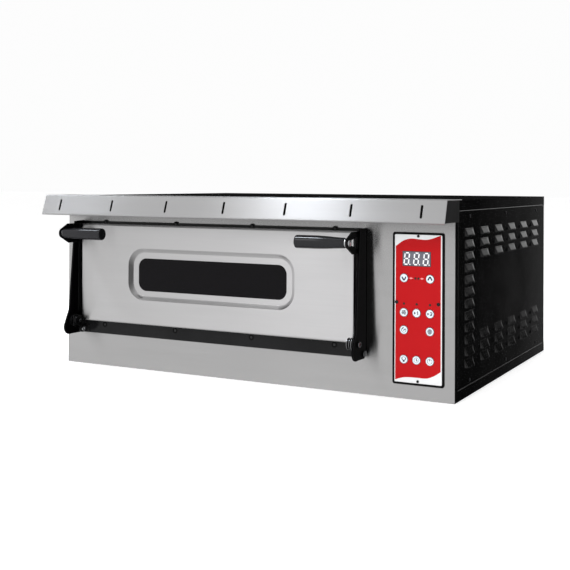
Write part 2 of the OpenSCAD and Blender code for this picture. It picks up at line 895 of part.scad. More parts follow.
module hinge_bushes() {
    place() color("#c4c6ca") both_door_ends() {
        difference() {
            rod_x(lever_in - 8.5, bush_y, bush_z, 8.5, 16);
            rod_x(lever_in - 9, bush_y, bush_z, 10, bush_bolt_r);
        }
        difference() {
            rod_x(lever_in - 20, bush_y, bush_z, 8.5, 13);
            rod_x(lever_in - 21, bush_y, bush_z, 12, bush_bolt_r);
        }
    }
}

module bush_bolts() {
    place() color("#a8abb0") both_door_ends() {
        rod_x(lever_in - 24, bush_y, bush_z, lever_out - lever_in + 24, bush_bolt_r);
        difference() {
            rod_x(lever_out, bush_y, bush_z, 5, 6.5);
            rod_x(lever_out + 2.5, bush_y, bush_z, 4, 3);
        }
    }
}

base_tray();
front_fascia();
corner_posts();
roof_cover();
side_panel_left();
side_panel_right();
back_panel();
cabinet_screws();
canopy();
canopy_end_caps();
mouth_frame();
mouth_frame_screws();
chamber_liner();
refractory_stones();
heating_elements();
insulation_slabs();
lamp_housing();
lamp_bulb();
lamp_glass();
temperature_probe();
bay_partition();
control_board();
contactors();
transformer();
terminal_block();
safety_thermostat();
control_gasket();
control_plate();
display_module();
display_lens();
indicator_leds();
control_screws();
steam_outlet();
cable_gland();
earth_stud();
hinge_brackets();
hinge_pins();
door_skin();
window_panes();
window_gasket();
door_insulation();
door_tray();
lever_left();
lever_right();
handle_brackets();
grip_left();
grip_right();
grip_bolts();
hinge_bushes();
bush_bolts();
button_down();
button_up();
button_set();
button_program_1();
button_program_2();
button_delay();
button_elements();
button_lamp();
button_timer();
button_power();
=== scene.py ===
import json
import math

import bmesh
import bpy
from mathutils import Matrix, Vector
from mathutils.geometry import tessellate_polygon


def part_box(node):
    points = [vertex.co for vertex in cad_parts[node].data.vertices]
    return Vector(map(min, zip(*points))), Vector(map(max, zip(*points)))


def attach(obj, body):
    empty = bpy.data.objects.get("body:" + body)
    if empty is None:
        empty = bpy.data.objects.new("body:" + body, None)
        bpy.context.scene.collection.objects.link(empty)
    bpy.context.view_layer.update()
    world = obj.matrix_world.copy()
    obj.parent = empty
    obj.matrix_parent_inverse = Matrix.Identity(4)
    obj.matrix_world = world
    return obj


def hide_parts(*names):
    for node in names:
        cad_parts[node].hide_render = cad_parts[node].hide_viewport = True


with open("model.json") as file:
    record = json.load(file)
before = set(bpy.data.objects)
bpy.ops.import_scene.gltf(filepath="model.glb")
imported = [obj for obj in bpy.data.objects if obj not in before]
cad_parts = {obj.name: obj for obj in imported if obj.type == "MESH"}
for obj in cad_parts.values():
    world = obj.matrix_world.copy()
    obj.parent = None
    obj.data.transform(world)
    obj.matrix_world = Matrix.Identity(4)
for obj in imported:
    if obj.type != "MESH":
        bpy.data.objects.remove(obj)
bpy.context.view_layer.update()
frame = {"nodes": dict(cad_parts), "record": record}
scene = bpy.context.scene

# Lengths below are in millimetres from the fascia's front plane: x right, y to the back, z up.
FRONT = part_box("front_fascia")[0].y * 1000


def at(x, y, z):
    return Vector((x, y + FRONT, z)) / 1000


def box_mm(node):
    """(low, high) of a CAD node, in the script's millimetres."""
    lo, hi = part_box(node)
    shift = Vector((0, FRONT, 0))
    return lo * 1000 - shift, hi * 1000 - shift


# ---------------------------------------------------------------- camera, light, floor
CAMERA_AT = (1147.036, -1954.916, 448.128)
CAMERA_YAW, CAMERA_PITCH, CAMERA_ROLL = -0.488230, 0.010844, 0.0048523
CAMERA_LENS = 63.190
CAMERA_SHIFT = -0.19955


def make_camera():
    data = bpy.data.cameras.new("camera")
    cam = bpy.data.objects.new("camera", data)
    scene.collection.objects.link(cam)
    data.sensor_width = 36
    data.lens = CAMERA_LENS
    data.shift_y = CAMERA_SHIFT
    data.clip_end = 60
    cy, sy = math.cos(CAMERA_YAW), math.sin(CAMERA_YAW)
    cp, sp = math.cos(CAMERA_PITCH), math.sin(CAMERA_PITCH)
    forward = Vector((sy * cp, cy * cp, sp))
    right = Vector((cy, -sy, 0))
    up = right.cross(forward)
    cr, sr = math.cos(CAMERA_ROLL), math.sin(CAMERA_ROLL)
    right, up = right * cr + up * sr, up * cr - right * sr
    m = Matrix((right, up, -forward)).transposed().to_4x4()
    m.translation = at(*CAMERA_AT)
    cam.matrix_world = m
    scene.camera = cam


def make_world():
    """A soft studio, drawn by direction: bright in front and above, darker behind and to the right,
    with soft panels for the steel and the black sheets to reflect. The camera sees plain white."""
    world = bpy.data.worlds.new("studio")
    scene.world = world
    world.use_nodes = True
    nt = world.node_tree
    nt.nodes.clear()
    link = nt.links.new
    coord = nt.nodes.new("ShaderNodeTexCoord")
    split = nt.nodes.new("ShaderNodeSeparateXYZ")
    link(coord.outputs["Generated"], split.inputs[0])

    def step(axis, low, high, a=0.0, b=1.0):
        """a to b as the direction's axis goes from low to high."""
        m = nt.nodes.new("ShaderNodeMapRange")
        m.interpolation_type = "SMOOTHSTEP"
        for key, v in (("From Min", low), ("From Max", high), ("To Min", a), ("To Max", b)):
            m.inputs[key].default_value = v
        link(split.outputs[axis], m.inputs["Value"])
        return m.outputs["Result"]

    def calc(op, a, b):
        m = nt.nodes.new("ShaderNodeMath")
        m.operation = op
        for sock, v in zip(m.inputs, (a, b)):
            if hasattr(v, "is_linked"):
                link(v, sock)
            else:
                sock.default_value = v
        return m.outputs[0]

    def chain(op, *values):
        out = values[0]
        for v in values[1:]:
            out = calc(op, out, v)
        return out

    def times(*values):
        return chain("MULTIPLY", *values)

    front = calc("ADD", step("Z", -1.0, -0.3, 0.55, 0.79), step("Z", 0.25, 0.8, 0.0, -0.10))
    back = calc("ADD", step("Z", -0.7, -0.25, 0.14, 0.006), step("Z", 0.25, 0.75, 0.0, 0.55))
    ahead = step("Y", -0.25, 0.15, 1.0, 0.0)
    base = calc("ADD", times(front, ahead), times(back, calc("SUBTRACT", 1.0, ahead)))
    base = times(base, step("X", 0.30, 0.75, 1.0, 0.12))
    # Panels behind the oven: a bright one above the horizon, a faint one below it
    low_end = times(step("X", -0.12, 0.02), step("Y", 0.5, 0.8))
    panel = times(low_end, step("X", 0.16, 0.285, 1.0, 0.0), step("Z", -0.01, 0.13))
    faint = times(low_end, step("X", 0.19, 0.26, 0.20, 0.0), step("Z", -0.40, -0.10))
    # Soft light that shows the black sheets from the other sides
    rear = times(step("X", 0.42, 0.62), step("Y", 0.10, 0.45), step("Z", -0.5, 0.0, 0.25, 0.55))
    left = times(step("X", -0.92, -0.74, 0.6, 0.0), step("Y", 0.05, 0.25), step("Z", -0.5, -0.2))
    behind = times(step("Y", 0.5, 0.8), step("Z", -0.30, -0.12, 0.45, 0.0),
                   step("X", -0.10, 0.12, 1.0, 0.0))
    right = times(step("X", 0.91, 0.97, 0.0, 0.4), step("Z", -0.5, -0.1, 0.4, 1.0))
    total = calc("ADD", base, chain("MAXIMUM", rear, left, behind, right, panel, faint))
    path = nt.nodes.new("ShaderNodeLightPath")
    glow = nt.nodes.new("ShaderNodeBackground")
    white = nt.nodes.new("ShaderNodeBackground")
    white.inputs["Color"].default_value = (0.98, 0.98, 0.98, 1)
    mix = nt.nodes.new("ShaderNodeMixShader")
    out = nt.nodes.new("ShaderNodeOutputWorld")
    link(total, glow.inputs["Color"])
    link(path.outputs["Is Camera Ray"], mix.inputs["Fac"])
    link(glow.outputs[0], mix.inputs[1])
    link(white.outputs[0], mix.inputs[2])
    link(mix.outputs[0], out.inputs["Surface"])


def area_light(name, place, target, size, power, shine=True, color=(1, 1, 1)):
    """A soft box, in metres and watts; without shine it stays out of reflections."""
    data = bpy.data.lights.new(name, "AREA")
    data.shape = "RECTANGLE"
    data.size, data.size_y = size
    data.energy = power
    data.color = color
    o = bpy.data.objects.new(name, data)
    scene.collection.objects.link(o)
    o.location = Vector(place)
    o.rotation_mode = "QUATERNION"
    o.rotation_quaternion = (Vector(target) - Vector(place)).to_track_quat("-Z", "Y")
    o.visible_camera = False
    o.visible_glossy = shine


def make_floor():
    me = bpy.data.meshes.new("floor")
    r = 30
    me.from_pydata([(-r, -r, 0), (r, -r, 0), (r, r, 0), (-r, r, 0)], [], [(0, 1, 2, 3)])
    o = bpy.data.objects.new("floor", me)
    scene.collection.objects.link(o)
    o.location.z = -0.0005  # just under the oven's base
    mat = bpy.data.materials.new("floor_white")
    mat.use_nodes = True
    b = mat.node_tree.nodes["Principled BSDF"]
    b.inputs["Base Color"].default_value = (0.93, 0.93, 0.93, 1)
    b.inputs["Roughness"].default_value = 0.9
    b.inputs["Specular IOR Level"].default_value = 0.1
    b.inputs["Emission Color"].default_value = (1, 1, 1, 1)
    b.inputs["Emission Strength"].default_value = 0.5
    me.materials.append(mat)
    o.visible_glossy = False


scene.view_settings.view_transform = "Standard"
make_camera()
make_world()
make_floor()
area_light("front_fill", (-1.2, -3.4, 1.6), (0, -0.3, 0.2), (2.4, 1.8), 48, False)
area_light("top_fill", (0.2, 0.1, 3.2), (0, 0, 0), (3.2, 3.2), 70, False)
# The two cool boxes make the long highlights on the grips, the strip one on the canopy
COOL = (0.86, 0.92, 1.0)
area_light("softbox_right", (-1.10, -0.93, 2.97), (0.22, -0.43, 0.32), (0.34, 0.42), 15.5,
           color=COOL)
area_light("canopy_strip", (-1.27, -2.6, 2.05), (0.0, -0.43, 0.39), (0.50, 1.1), 2.6)
area_light("softbox_left", (-2.29, -0.87, 2.60), (-0.40, -0.43, 0.32), (0.32, 0.34), 4.6,
           color=COOL)

# ---------------------------------------------------------------- materials


class Nodes:
    """Short names for building a node tree."""

    def __init__(self, mat):
        self.nt = mat.node_tree
        self.bsdf = self.nt.nodes["Principled BSDF"]

    def new(self, kind, **values):
        n = self.nt.nodes.new("ShaderNode" + kind)
        for k, v in values.items():
            if hasattr(n, k):
                setattr(n, k, v)
            else:
                n.inputs[k.replace("_", " ")].default_value = v
        return n

    def link(self, a, b):
        self.nt.links.new(a, b)

    def noise(self, scale, stretch=(1, 1, 1), detail=3.0, rough=0.55):
        """A noise value in the row frame; stretch is its size along x, y and z."""
        coord = self.new("TexCoord")
        mp = self.new("Mapping")
        mp.inputs["Scale"].default_value = [1 / s for s in stretch]
        n = self.new("TexNoise", Scale=scale, Detail=detail, Roughness=rough)
        self.link(coord.outputs["Object"], mp.inputs["Vector"])
        self.link(mp.outputs["Vector"], n.inputs["Vector"])
        return n.outputs["Fac"]

    def ramp(self, fac, stops):
        r = self.new("ValToRGB")
        r.color_ramp.elements[0].position = stops[0][0]
        r.color_ramp.elements[1].position = stops[-1][0]
        for pos, _ in stops[1:-1]:
            r.color_ramp.elements.new(pos)
        for e, (_, c) in zip(r.color_ramp.elements, stops):
            e.color = (*c, 1) if hasattr(c, "__len__") else (c, c, c, 1)
        self.link(fac, r.inputs["Fac"])
        return r.outputs["Color"]

    def remap(self, fac, low, high, frm=(0.3, 0.7)):
        m = self.new("MapRange")
        m.inputs["From Min"].default_value, m.inputs["From Max"].default_value = frm
        m.inputs["To Min"].default_value, m.inputs["To Max"].default_value = low, high
        self.link(fac, m.inputs["Value"])
        return m.outputs["Result"]

    def mix(self, fac, a, b, blend="MIX"):
        m = self.new("Mix", data_type="RGBA", blend_type=blend)
        for sock, v in ((m.inputs[0], fac), (m.inputs[6], a), (m.inputs[7], b)):
            if hasattr(v, "is_linked"):
                self.link(v, sock)
            elif hasattr(v, "__len__"):
                sock.default_value = (*v, 1)
            else:
                sock.default_value = v
        return m.outputs[2]

    def bump(self, height, strength, distance_mm):
        b = self.new("Bump", Strength=strength, Distance=distance_mm / 1000)
        self.link(height, b.inputs["Height"])
        self.link(b.outputs["Normal"], self.bsdf.inputs["Normal"])

    def edge(self):
        """1 along the rounded edges of a piece, from its mesh. The finishes change their colour
        there, lighter on the dark and metal ones: rubbed edges, and a painted highlight as well.
        """
        return self.new("Attribute", attribute_name="edge").outputs["Fac"]

    def set(self, **values):
        for k, v in values.items():
            self.bsdf.inputs[k.replace("_", " ")].default_value = v

    def color(self, c):
        self.link(c, self.bsdf.inputs["Base Color"])

    def rough(self, r):
        self.link(r, self.bsdf.inputs["Roughness"])


def material(name):
    m = bpy.data.materials.new(name)
    m.use_nodes = True
    return m, Nodes(m)


def scale3(c, k):
    return tuple(min(1, v * k) for v in c)


GRAIN_LONG, GRAIN_FINE, GRAIN_BAND = 0.25, 0.0006, 0.02


def brushed(name, base, rough, tint=None):
    """Sheet steel brushed along x, which blurs reflections upright; a second colour, when given, is
    multiplied in more and more towards the right, a painted gradient of light.
    """
    m, n = material(name)
    fine = n.noise(1.0, (GRAIN_LONG, GRAIN_FINE, GRAIN_FINE), 4.0, 0.7)
    band = n.noise(1.0, (GRAIN_LONG, GRAIN_BAND, GRAIN_BAND), 2.0)
    cloud = n.noise(2.5, (1, 1, 1), 3.0)
    contrast = 0.035
    tones = (0.30, scale3(base, 1 - contrast)), (0.5, base), (0.72, scale3(base, 1 + contrast))
    tone = n.ramp(n.mix(0.5, fine, band), tones)
    worn = n.mix(n.remap(cloud, 0.0, 0.10), tone, scale3(base, 0.8))
    if tint:
        # Lighter from left to right across the piece: painted light.
        place = n.new("SeparateXYZ")
        n.link(n.new("TexCoord").outputs["Object"], place.inputs[0])
        painted_light_ramp = n.remap(place.outputs["X"], 0, 1, (-0.45, 0.30))
        worn = n.mix(painted_light_ramp, worn, n.mix(1.0, worn, tint, "MULTIPLY"))
    # Lighter along the rounded edges: polished wear and a painted highlight.
    n.color(n.mix(n.edge(), worn, scale3(base, 1.25)))
    n.rough(n.remap(n.mix(0.5, fine, cloud), rough - 0.02, rough + 0.025))
    n.bump(n.mix(0.04, cloud, fine), 0.4, 0.2)
    n.set(Metallic=1.0, Anisotropic=1.0)
    t = n.new("Tangent", direction_type="RADIAL", axis="X")
    n.link(t.outputs[0], n.bsdf.inputs["Tangent"])
    return m


def coated(name, base, rough, peel, worn, spec=0.5):
    """Powder coat or enamel: faint orange peel, dust in the roughness, and edges in a lighter
    colour, as rubbed edges and as a painted highlight.
    """
    m, n = material(name)
    fine = n.noise(900, detail=2.0)
    broad = n.noise(9, detail=4.0)
    paint = n.ramp(broad, ((0.35, scale3(base, 0.85)), (0.65, scale3(base, 1.2))))
    n.color(n.mix(n.edge(), paint, worn))
    n.rough(n.remap(n.mix(0.5, fine, broad), rough - 0.04, rough + 0.06))
    n.bump(n.noise(420, detail=1.5), peel, 0.06)
    n.set(Specular_IOR_Level=spec)
    return m


def plain_metal(name, base, rough):
    """Turned or plated metal, with faint tooling rings and handling marks."""
    m, n = material(name)
    fine = n.noise(1500, detail=3.0)
    broad = n.noise(60, detail=4.0)
    tone = n.ramp(broad, ((0.3, scale3(base, 0.9)), (0.7, base)))
    n.color(n.mix(n.edge(), tone, scale3(base, 1.15)))
    n.rough(n.remap(n.mix(0.6, fine, broad), rough * 0.75, rough * 1.3))
    n.bump(fine, 0.06, 0.03)
    n.set(Metallic=1.0)
    return m


def moulded(name, base, rough, grain=350, depth=0.04, spec=0.5, vary=0.12):
    """Moulded plastic or rubber with a fine grain."""
    m, n = material(name)
    broad = n.noise(25, detail=4.0)
    tone = n.ramp(broad, ((0.3, scale3(base, 1 - vary)), (0.7, scale3(base, 1 + vary))))
    n.color(n.mix(n.edge(), tone, tuple(0.85 * v + 0.006 for v in base)))
    n.rough(n.remap(n.noise(grain, detail=3.0), rough - 0.05, rough + 0.07))
    n.bump(n.noise(grain * 3, detail=2.0), 0.15, depth)
    n.set(Specular_IOR_Level=spec)
    return m


def glassy(name, base, rough, transmission, smear=0.03, spec=0.5):
    """Glass with faint smears."""
    m, n = material(name)
    n.color(n.ramp(n.noise(14, detail=5.0), ((0.35, scale3(base, 0.9)), (0.65, base))))
    n.rough(n.remap(n.noise(22, (1, 1, 2.5), detail=5.0), rough, rough + smear))
    n.set(IOR=1.5, Transmission_Weight=transmission, Specular_IOR_Level=spec)
    return m


def stony(name, base):
    """Fired stone, gritty, with scorched patches."""
    m, n = material(name)
    grit = n.noise(700, detail=6.0, rough=0.7)
    cloud = n.noise(12, detail=5.0)
    scorch = n.noise(5, detail=2.0)
    tone = n.ramp(cloud, ((0.3, scale3(base, 0.8)), (0.7, scale3(base, 1.1))))
    tone = n.mix(n.remap(scorch, 0, 0.5, (0.45, 0.75)), tone, scale3(base, 0.45))
    n.color(n.mix(0.35, tone, n.ramp(grit, ((0.35, scale3(base, 0.5)), (0.6, base)))))
    n.set(Roughness=0.9)
    n.bump(grit, 0.6, 0.6)
    return m


def fibrous(name, base):
    """Mineral wool."""
    m, n = material(name)
    fibre = n.noise(250, (1, 6, 1), detail=6.0)
    n.color(n.ramp(fibre, ((0.3, scale3(base, 0.65)), (0.7, base))))
    n.set(Roughness=0.95)
    n.bump(fibre, 0.8, 1.5)
    return m


def oxidised(name, base, tint):
    """Heat-coloured metal."""
    m, n = material(name)
    cloud = n.noise(18, detail=5.0)
    n.color(n.mix(n.edge(), n.ramp(cloud, ((0.3, base), (0.7, tint))), scale3(tint, 1.4)))
    n.rough(n.remap(n.noise(300, detail=4.0), 0.38, 0.6))
    n.bump(n.noise(900, detail=3.0), 0.15, 0.08)
    n.set(Metallic=1.0)
    return m


MATS = {}


def finish(maker, name, *values, **more):
    MATS[name] = maker(name, *values, **more)


finish(brushed, "fascia_steel", (0.56, 0.557, 0.557), 0.25)
finish(brushed, "canopy_steel", (0.60, 0.598, 0.602), 0.31)
# The door's steel is painted lighter towards its right side: painted light.
finish(brushed, "door_steel", (0.68, 0.675, 0.677), 0.30, tint=(1.22, 1.22, 1.23))
# The lighter edge colours below are rubbed edges and painted highlights; on the levers they stand
# in for the sheen along their front edges.
finish(coated, "black_shell", (0.0008, 0.0008, 0.0009), 0.12, peel=0.04,
       worn=(0.012, 0.012, 0.0125))
finish(coated, "black_frame", (0.0085, 0.0085, 0.009), 0.34, peel=0.08, worn=(0.03, 0.03, 0.031),
       spec=0.18)
finish(coated, "black_lever", (0.0014, 0.0012, 0.0015), 0.28, peel=0.05, worn=(0.02, 0.02, 0.021),
       spec=0.012)
finish(oxidised, "liner_steel", (0.42, 0.41, 0.39), (0.52, 0.47, 0.40))
finish(plain_metal, "inner_steel", (0.62, 0.62, 0.62), 0.35)
finish(stony, "stone", (0.62, 0.54, 0.43))
finish(oxidised, "element_steel", (0.10, 0.085, 0.075), (0.22, 0.17, 0.14))
finish(fibrous, "insulation", (0.72, 0.67, 0.52))
finish(glassy, "lamp_glass", (0.93, 0.97, 0.97), 0.02, 1.0)
finish(glassy, "bulb_glass", (1.0, 0.95, 0.85), 0.05, 0.9)
finish(glassy, "window_glass", (0.0028, 0.0022, 0.0032), 0.015, 0.25, smear=0.02, spec=0.035)
finish(moulded, "seal", (0.0018, 0.0018, 0.0018), 0.5, spec=0.10)
finish(moulded, "panel_red", (0.455, 0.002, 0.0045), 0.42, grain=500, depth=0.02, vary=0.02,
       spec=0.15)
finish(moulded, "panel_white", (0.775, 0.785, 0.79), 0.35, grain=500, depth=0.02, vary=0.015,
       spec=0.3)
finish(moulded, "display_face", (0.14, 0.135, 0.165), 0.30, grain=200, depth=0.01, vary=0.05,
       spec=0.2)
finish(moulded, "display_cell", (0.115, 0.11, 0.135), 0.35, grain=200, depth=0.01, vary=0.05,
       spec=0.2)
finish(moulded, "display_edge", (0.055, 0.062, 0.075), 0.35, spec=0.3)
finish(moulded, "digit_white", (0.92, 0.93, 0.95), 0.4, vary=0.02)
finish(moulded, "led_lens", (0.014, 0.026, 0.023), 0.22, grain=80, depth=0.01, spec=0.25)
finish(moulded, "key_cap", (0.73, 0.80, 0.85), 0.32, grain=400, depth=0.02, vary=0.02, spec=0.3)
finish(moulded, "key_print", (0.016, 0.026, 0.05), 0.45, vary=0.05, spec=0.12)
finish(moulded, "mark_pink", (0.86, 0.30, 0.31), 0.4, vary=0.03, spec=0.2)
finish(moulded, "grip_black", (0.009, 0.009, 0.011), 0.11, grain=120, depth=0.01, spec=0.42)
finish(moulded, "bush_black", (0.0022, 0.0022, 0.0025), 0.25, grain=200, depth=0.01, spec=0.12)
# The grips' end faces are darker and duller than the barrels: painted shade of their recessed ends.
finish(moulded, "grip_end", (0.002, 0.002, 0.0025), 0.4, grain=120, depth=0.01, spec=0.10)
finish(plain_metal, "rail_screw", (0.07, 0.07, 0.072), 0.35)
finish(coated, "rail_black", (0.0085, 0.0085, 0.009), 0.10, peel=0.02, worn=(0.03, 0.03, 0.031),
       spec=0.18)
finish(plain_metal, "bolt_dark", (0.17, 0.175, 0.185), 0.22)
finish(plain_metal, "rim_steel", (0.38, 0.385, 0.40), 0.20)
finish(moulded, "screw_black", (0.004, 0.004, 0.0045), 0.12, grain=200, depth=0.01, spec=0.6)
finish(plain_metal, "zinc", (0.66, 0.67, 0.69), 0.24)
finish(plain_metal, "dark_screw", (0.05, 0.05, 0.055), 0.30)
finish(moulded, "board", (0.02, 0.13, 0.04), 0.35)
finish(moulded, "moulded_grey", (0.05, 0.05, 0.055), 0.45)
finish(moulded, "moulded_cream", (0.62, 0.58, 0.48), 0.45)
finish(plain_metal, "copper_coil", (0.55, 0.27, 0.12), 0.35)
finish(plain_metal, "outlet_steel", (0.55, 0.56, 0.57), 0.32)
finish(moulded, "gland_plastic", (0.015, 0.015, 0.016), 0.45)
finish(plain_metal, "brass", (0.72, 0.52, 0.20), 0.30)

SLOT_OF = {p["node"]: p["material_slot"] for p in frame["record"]["subparts"]}
BODY_OF = {n: b for b, ns in frame["record"]["behaviour"]["bodies"].items() for n in ns}

# ---------------------------------------------------------------- mesh tools
NORMAL_WEIGHT = 90


def add_piece(name, bm, mat, body, stands_for=(), sharp=None):
    """Makes an object of a bmesh drawn in the script's millimetres, riding on a body.
    stands_for names the CAD nodes it replaces; creases above sharp degrees stay hard."""
    bmesh.ops.recalc_face_normals(bm, faces=bm.faces)
    for v in bm.verts:
        v.co = at(*v.co)
    me = bpy.data.meshes.new(name)
    bm.normal_update()
    bm.to_mesh(me)
    bm.free()
    o = bpy.data.objects.new(name, me)
    scene.collection.objects.link(o)
    for p in me.polygons:
        p.use_smooth = True
    if sharp is not None:
        me.set_sharp_from_angle(angle=math.radians(sharp))
    w = o.modifiers.new("normals", "WEIGHTED_NORMAL")
    w.keep_sharp = True
    w.weight = NORMAL_WEIGHT
    me.materials.append(MATS[mat])
    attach(o, body)
    if stands_for:
        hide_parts(*stands_for)
    return o


def new_bmesh():
    bm = bmesh.new()
    bm.verts.layers.float.new("edge")
    return bm


def mark_edges(bm, verts, value=1.0):
    layer = bm.verts.layers.float["edge"]
    for v in verts:
        v[layer] = value


def area2(loop):
    """A loop's area, positive when it runs anticlockwise."""
    return sum(a[0] * b[1] - b[0] * a[1] for a, b in zip(loop, loop[1:] + loop[:1])) / 2


def clean(loop, tol=1e-4):
    """The loop without repeated points."""
    out = []
    for p in loop:
        if not out or math.hypot(p[0] - out[-1][0], p[1] - out[-1][1]) > tol:
            out.append((p[0], p[1]))
    if math.hypot(out[0][0] - out[-1][0], out[0][1] - out[-1][1]) <= tol:
        out.pop()
    return out


def shrunk(loop, d):
    """The loop moved to its left by d, with mitred corners."""
    out = []
    for i, p in enumerate(loop):
        a, b = loop[i - 1], loop[(i + 1) % len(loop)]
        e1, e2 = Vector((p[0] - a[0], p[1] - a[1])), Vector((b[0] - p[0], b[1] - p[1]))
        e1.normalize(), e2.normalize()
        n1, n2 = Vector((-e1.y, e1.x)), Vector((-e2.y, e2.x))
        k = d / max(0.3, 1 + n1.dot(n2))
        out.append((p[0] + (n1.x + n2.x) * k, p[1] + (n1.y + n2.y) * k))
    return out


def skin(bm, rings):
    """Faces between successive closed rings of vertices; a ring of one vertex is a pole."""
    for p, q in zip(rings, rings[1:]):
        n = max(len(p), len(q))
        for i in range(n if n > 1 else 0):
            j = (i + 1) % n
            if len(p) == 1:
                face = p[0], q[j], q[i]
            elif len(q) == 1:
                face = p[i], p[j], q[0]
            else:
                face = p[i], p[j], q[j], q[i]
            bm.faces.new(face)


def plate_bmesh(loops, t, r, to3d, seg=3, bm=None):
    """A plate of thickness t with edges rounded to r; its first loop is the outline, the rest are
    holes. to3d(u, v, w) places a point, with w from 0 to t, and keeps right-handed order."""
    bm = bm or new_bmesh()
    loops = [clean(p) for p in loops]
    loops = [p if (area2(p) > 0) == (i == 0) else p[::-1] for i, p in enumerate(loops)]
    steps = [(r * (1 - math.sin(k * math.pi / 2 / seg)),
              r * (1 - math.cos(k * math.pi / 2 / seg))) for k in range(seg + 1)]
    levels = steps + [(i, t - w) for i, w in reversed(steps)]
    rings_all = []
    for loop in loops:
        rings = [[bm.verts.new(to3d(u, v, w)) for u, v in shrunk(loop, inset)]
                 for inset, w in levels]
        skin(bm, rings)
        if r > 0:
            for ring in rings[1:seg] + rings[seg + 2:-1]:
                mark_edges(bm, ring)
        rings_all.append(rings)
    for side, flip in ((0, True), (-1, False)):
        flat = [[Vector((u, v, 0)) for u, v in shrunk(p, r)] for p in loops]
        verts = [v for rings in rings_all for v in rings[side]]
        for tri in tessellate_polygon(flat):
            f = [verts[i] for i in tri]
            a, b, c = (sum(flat, [])[i] for i in tri)
            up = (b - a).cross(c - a).z > 0
            if abs((b - a).cross(c - a).z) < 1e-9:
                continue
            bm.faces.new(f if up != flip else f[::-1])
    return bm


def front_facing(y):
    """(u, v, w) as x, z and depth behind y; w = 0 is the front."""
    return lambda u, v, w: (u, y + w, v)


def flat_plate(name, loops, t, r, place, mat, body, stands_for=(), **kw):
    bm = plate_bmesh(loops, t, r, place, **kw)
    return add_piece(name, bm, mat, body, stands_for)


def arc(cx, cy, r, a0, a1, n):
    return [(cx + r * math.cos(math.radians(a0 + (a1 - a0) * i / n)),
             cy + r * math.sin(math.radians(a0 + (a1 - a0) * i / n))) for i in range(n + 1)]


def rect(x0, y0, x1, y1):
    return [(x0, y0), (x1, y0), (x1, y1), (x0, y1)]


def circle(cx, cy, r, n=32):
    return arc(cx, cy, r, 0, 360 - 360 / n, n - 1)


def rounded(cx, cy, w, h, r, n=8):
    """A rounded rectangle of 4 (n + 1) points, anticlockwise from its right side's lower corner."""
    out = []
    for k, (sx, sy) in enumerate(((1, -1), (1, 1), (-1, 1), (-1, -1))):
        out += arc(cx + sx * (w / 2 - r), cy + sy * (h / 2 - r), r, -90 + 90 * k, 90 * k, n)
    return out


def filleted(points, radii, n=4):
    """A polygon with its corners rounded; radii is one number or one for each corner."""
    out = []
    m = len(points)
    for i, p in enumerate(points):
        r = radii[i] if hasattr(radii, "__len__") else radii
        a, b = Vector(points[i - 1]), Vector(points[(i + 1) % m])
        p = Vector(p)
        da, db = (a - p), (b - p)
        la, lb = da.length, db.length
        if r <= 0 or la < 1e-6 or lb < 1e-6:
            out.append(tuple(p))
            continue
        da, db = da / la, db / lb
        half = math.acos(max(-1, min(1, da.dot(db)))) / 2
        if half > math.pi / 2 - 0.02:
            out.append(tuple(p))
            continue
        cut = min(r / math.tan(half), la * 0.48, lb * 0.48)
        r = cut * math.tan(half)
        centre = p + (da + db).normalized() * (r / math.sin(half))
        s, e = p + da * cut - centre, p + db * cut - centre
        turn = math.atan2(s.x * e.y - s.y * e.x, s.dot(e))
        for k in range(n + 1):
            out.append(tuple(centre + Matrix.Rotation(turn * k / n, 2) @ s))
    return out


def welded(node):
    """A CAD node's mesh in the script's millimetres, its split points joined."""
    bm = new_bmesh()
    bm.from_mesh(frame["nodes"][node].data)
    for v in bm.verts:
        v.co = Vector((v.co.x * 1000, v.co.y * 1000 - FRONT, v.co.z * 1000))
    bmesh.ops.remove_doubles(bm, verts=bm.verts, dist=1e-3)
    return bm


def islands(bm):
    """The faces of each separate solid."""
    seen, out = set(), []
    for f in bm.faces:
        if f in seen:
            continue
        stack, part = [f], []
        seen.add(f)
        while stack:
            g = stack.pop()
            part.append(g)
            for e in g.edges:
                for h in e.link_faces:
                    if h not in seen:
                        seen.add(h)
                        stack.append(h)
        out.append(part)
    return out


def outlines(faces, axis):
    """The loops round the end face of a straight CAD plate, and its two ends along axis."""
    lo = min(v.co[axis] for f in faces for v in f.verts)
    hi = max(v.co[axis] for f in faces for v in f.verts)
    # A dict, because it keeps the order of its faces
    cap = dict.fromkeys(f for f in faces if all(abs(v.co[axis] - hi) < 1e-3 for v in f.verts))
    nxt = {}
    for f in cap:
        for l in f.loops:
            if sum(g in cap for g in l.edge.link_faces) == 1:
                nxt[l.vert] = l.link_loop_next.vert
    loops = []
    while nxt:
        v0, v = nxt.popitem()
        loop = [v0]
        while v is not v0:
            loop.append(v)
            v = nxt.pop(v)
        loops.append(loop)
    u, w = [(1, 2), (0, 2), (0, 1)][axis]
    loops = [[(v.co[u], v.co[w]) for v in loop] for loop in loops]
    loops.sort(key=lambda p: -abs(area2(p)))
    return loops, lo, hi


def cad_plate(name, node, axis, r, mat=None):
    """A straight CAD plate, or several, with its edges rounded."""
    src = welded(node)
    bm = new_bmesh()
    for faces in islands(src):
        loops, lo, hi = outlines(faces, axis)
        place = {
            0: lambda u, v, w, lo=lo: (lo + w, u, v),
            1: lambda u, v, w, lo=lo: (u, lo + w, v),
            2: lambda u, v, w, lo=lo: (u, v, lo + w),
        }[axis]
        plate_bmesh(loops, hi - lo, min(r, (hi - lo) * 0.45), place, bm=bm)
    src.free()
    return add_piece(name, bm, mat or SLOT_OF[node], BODY_OF[node], (node,))


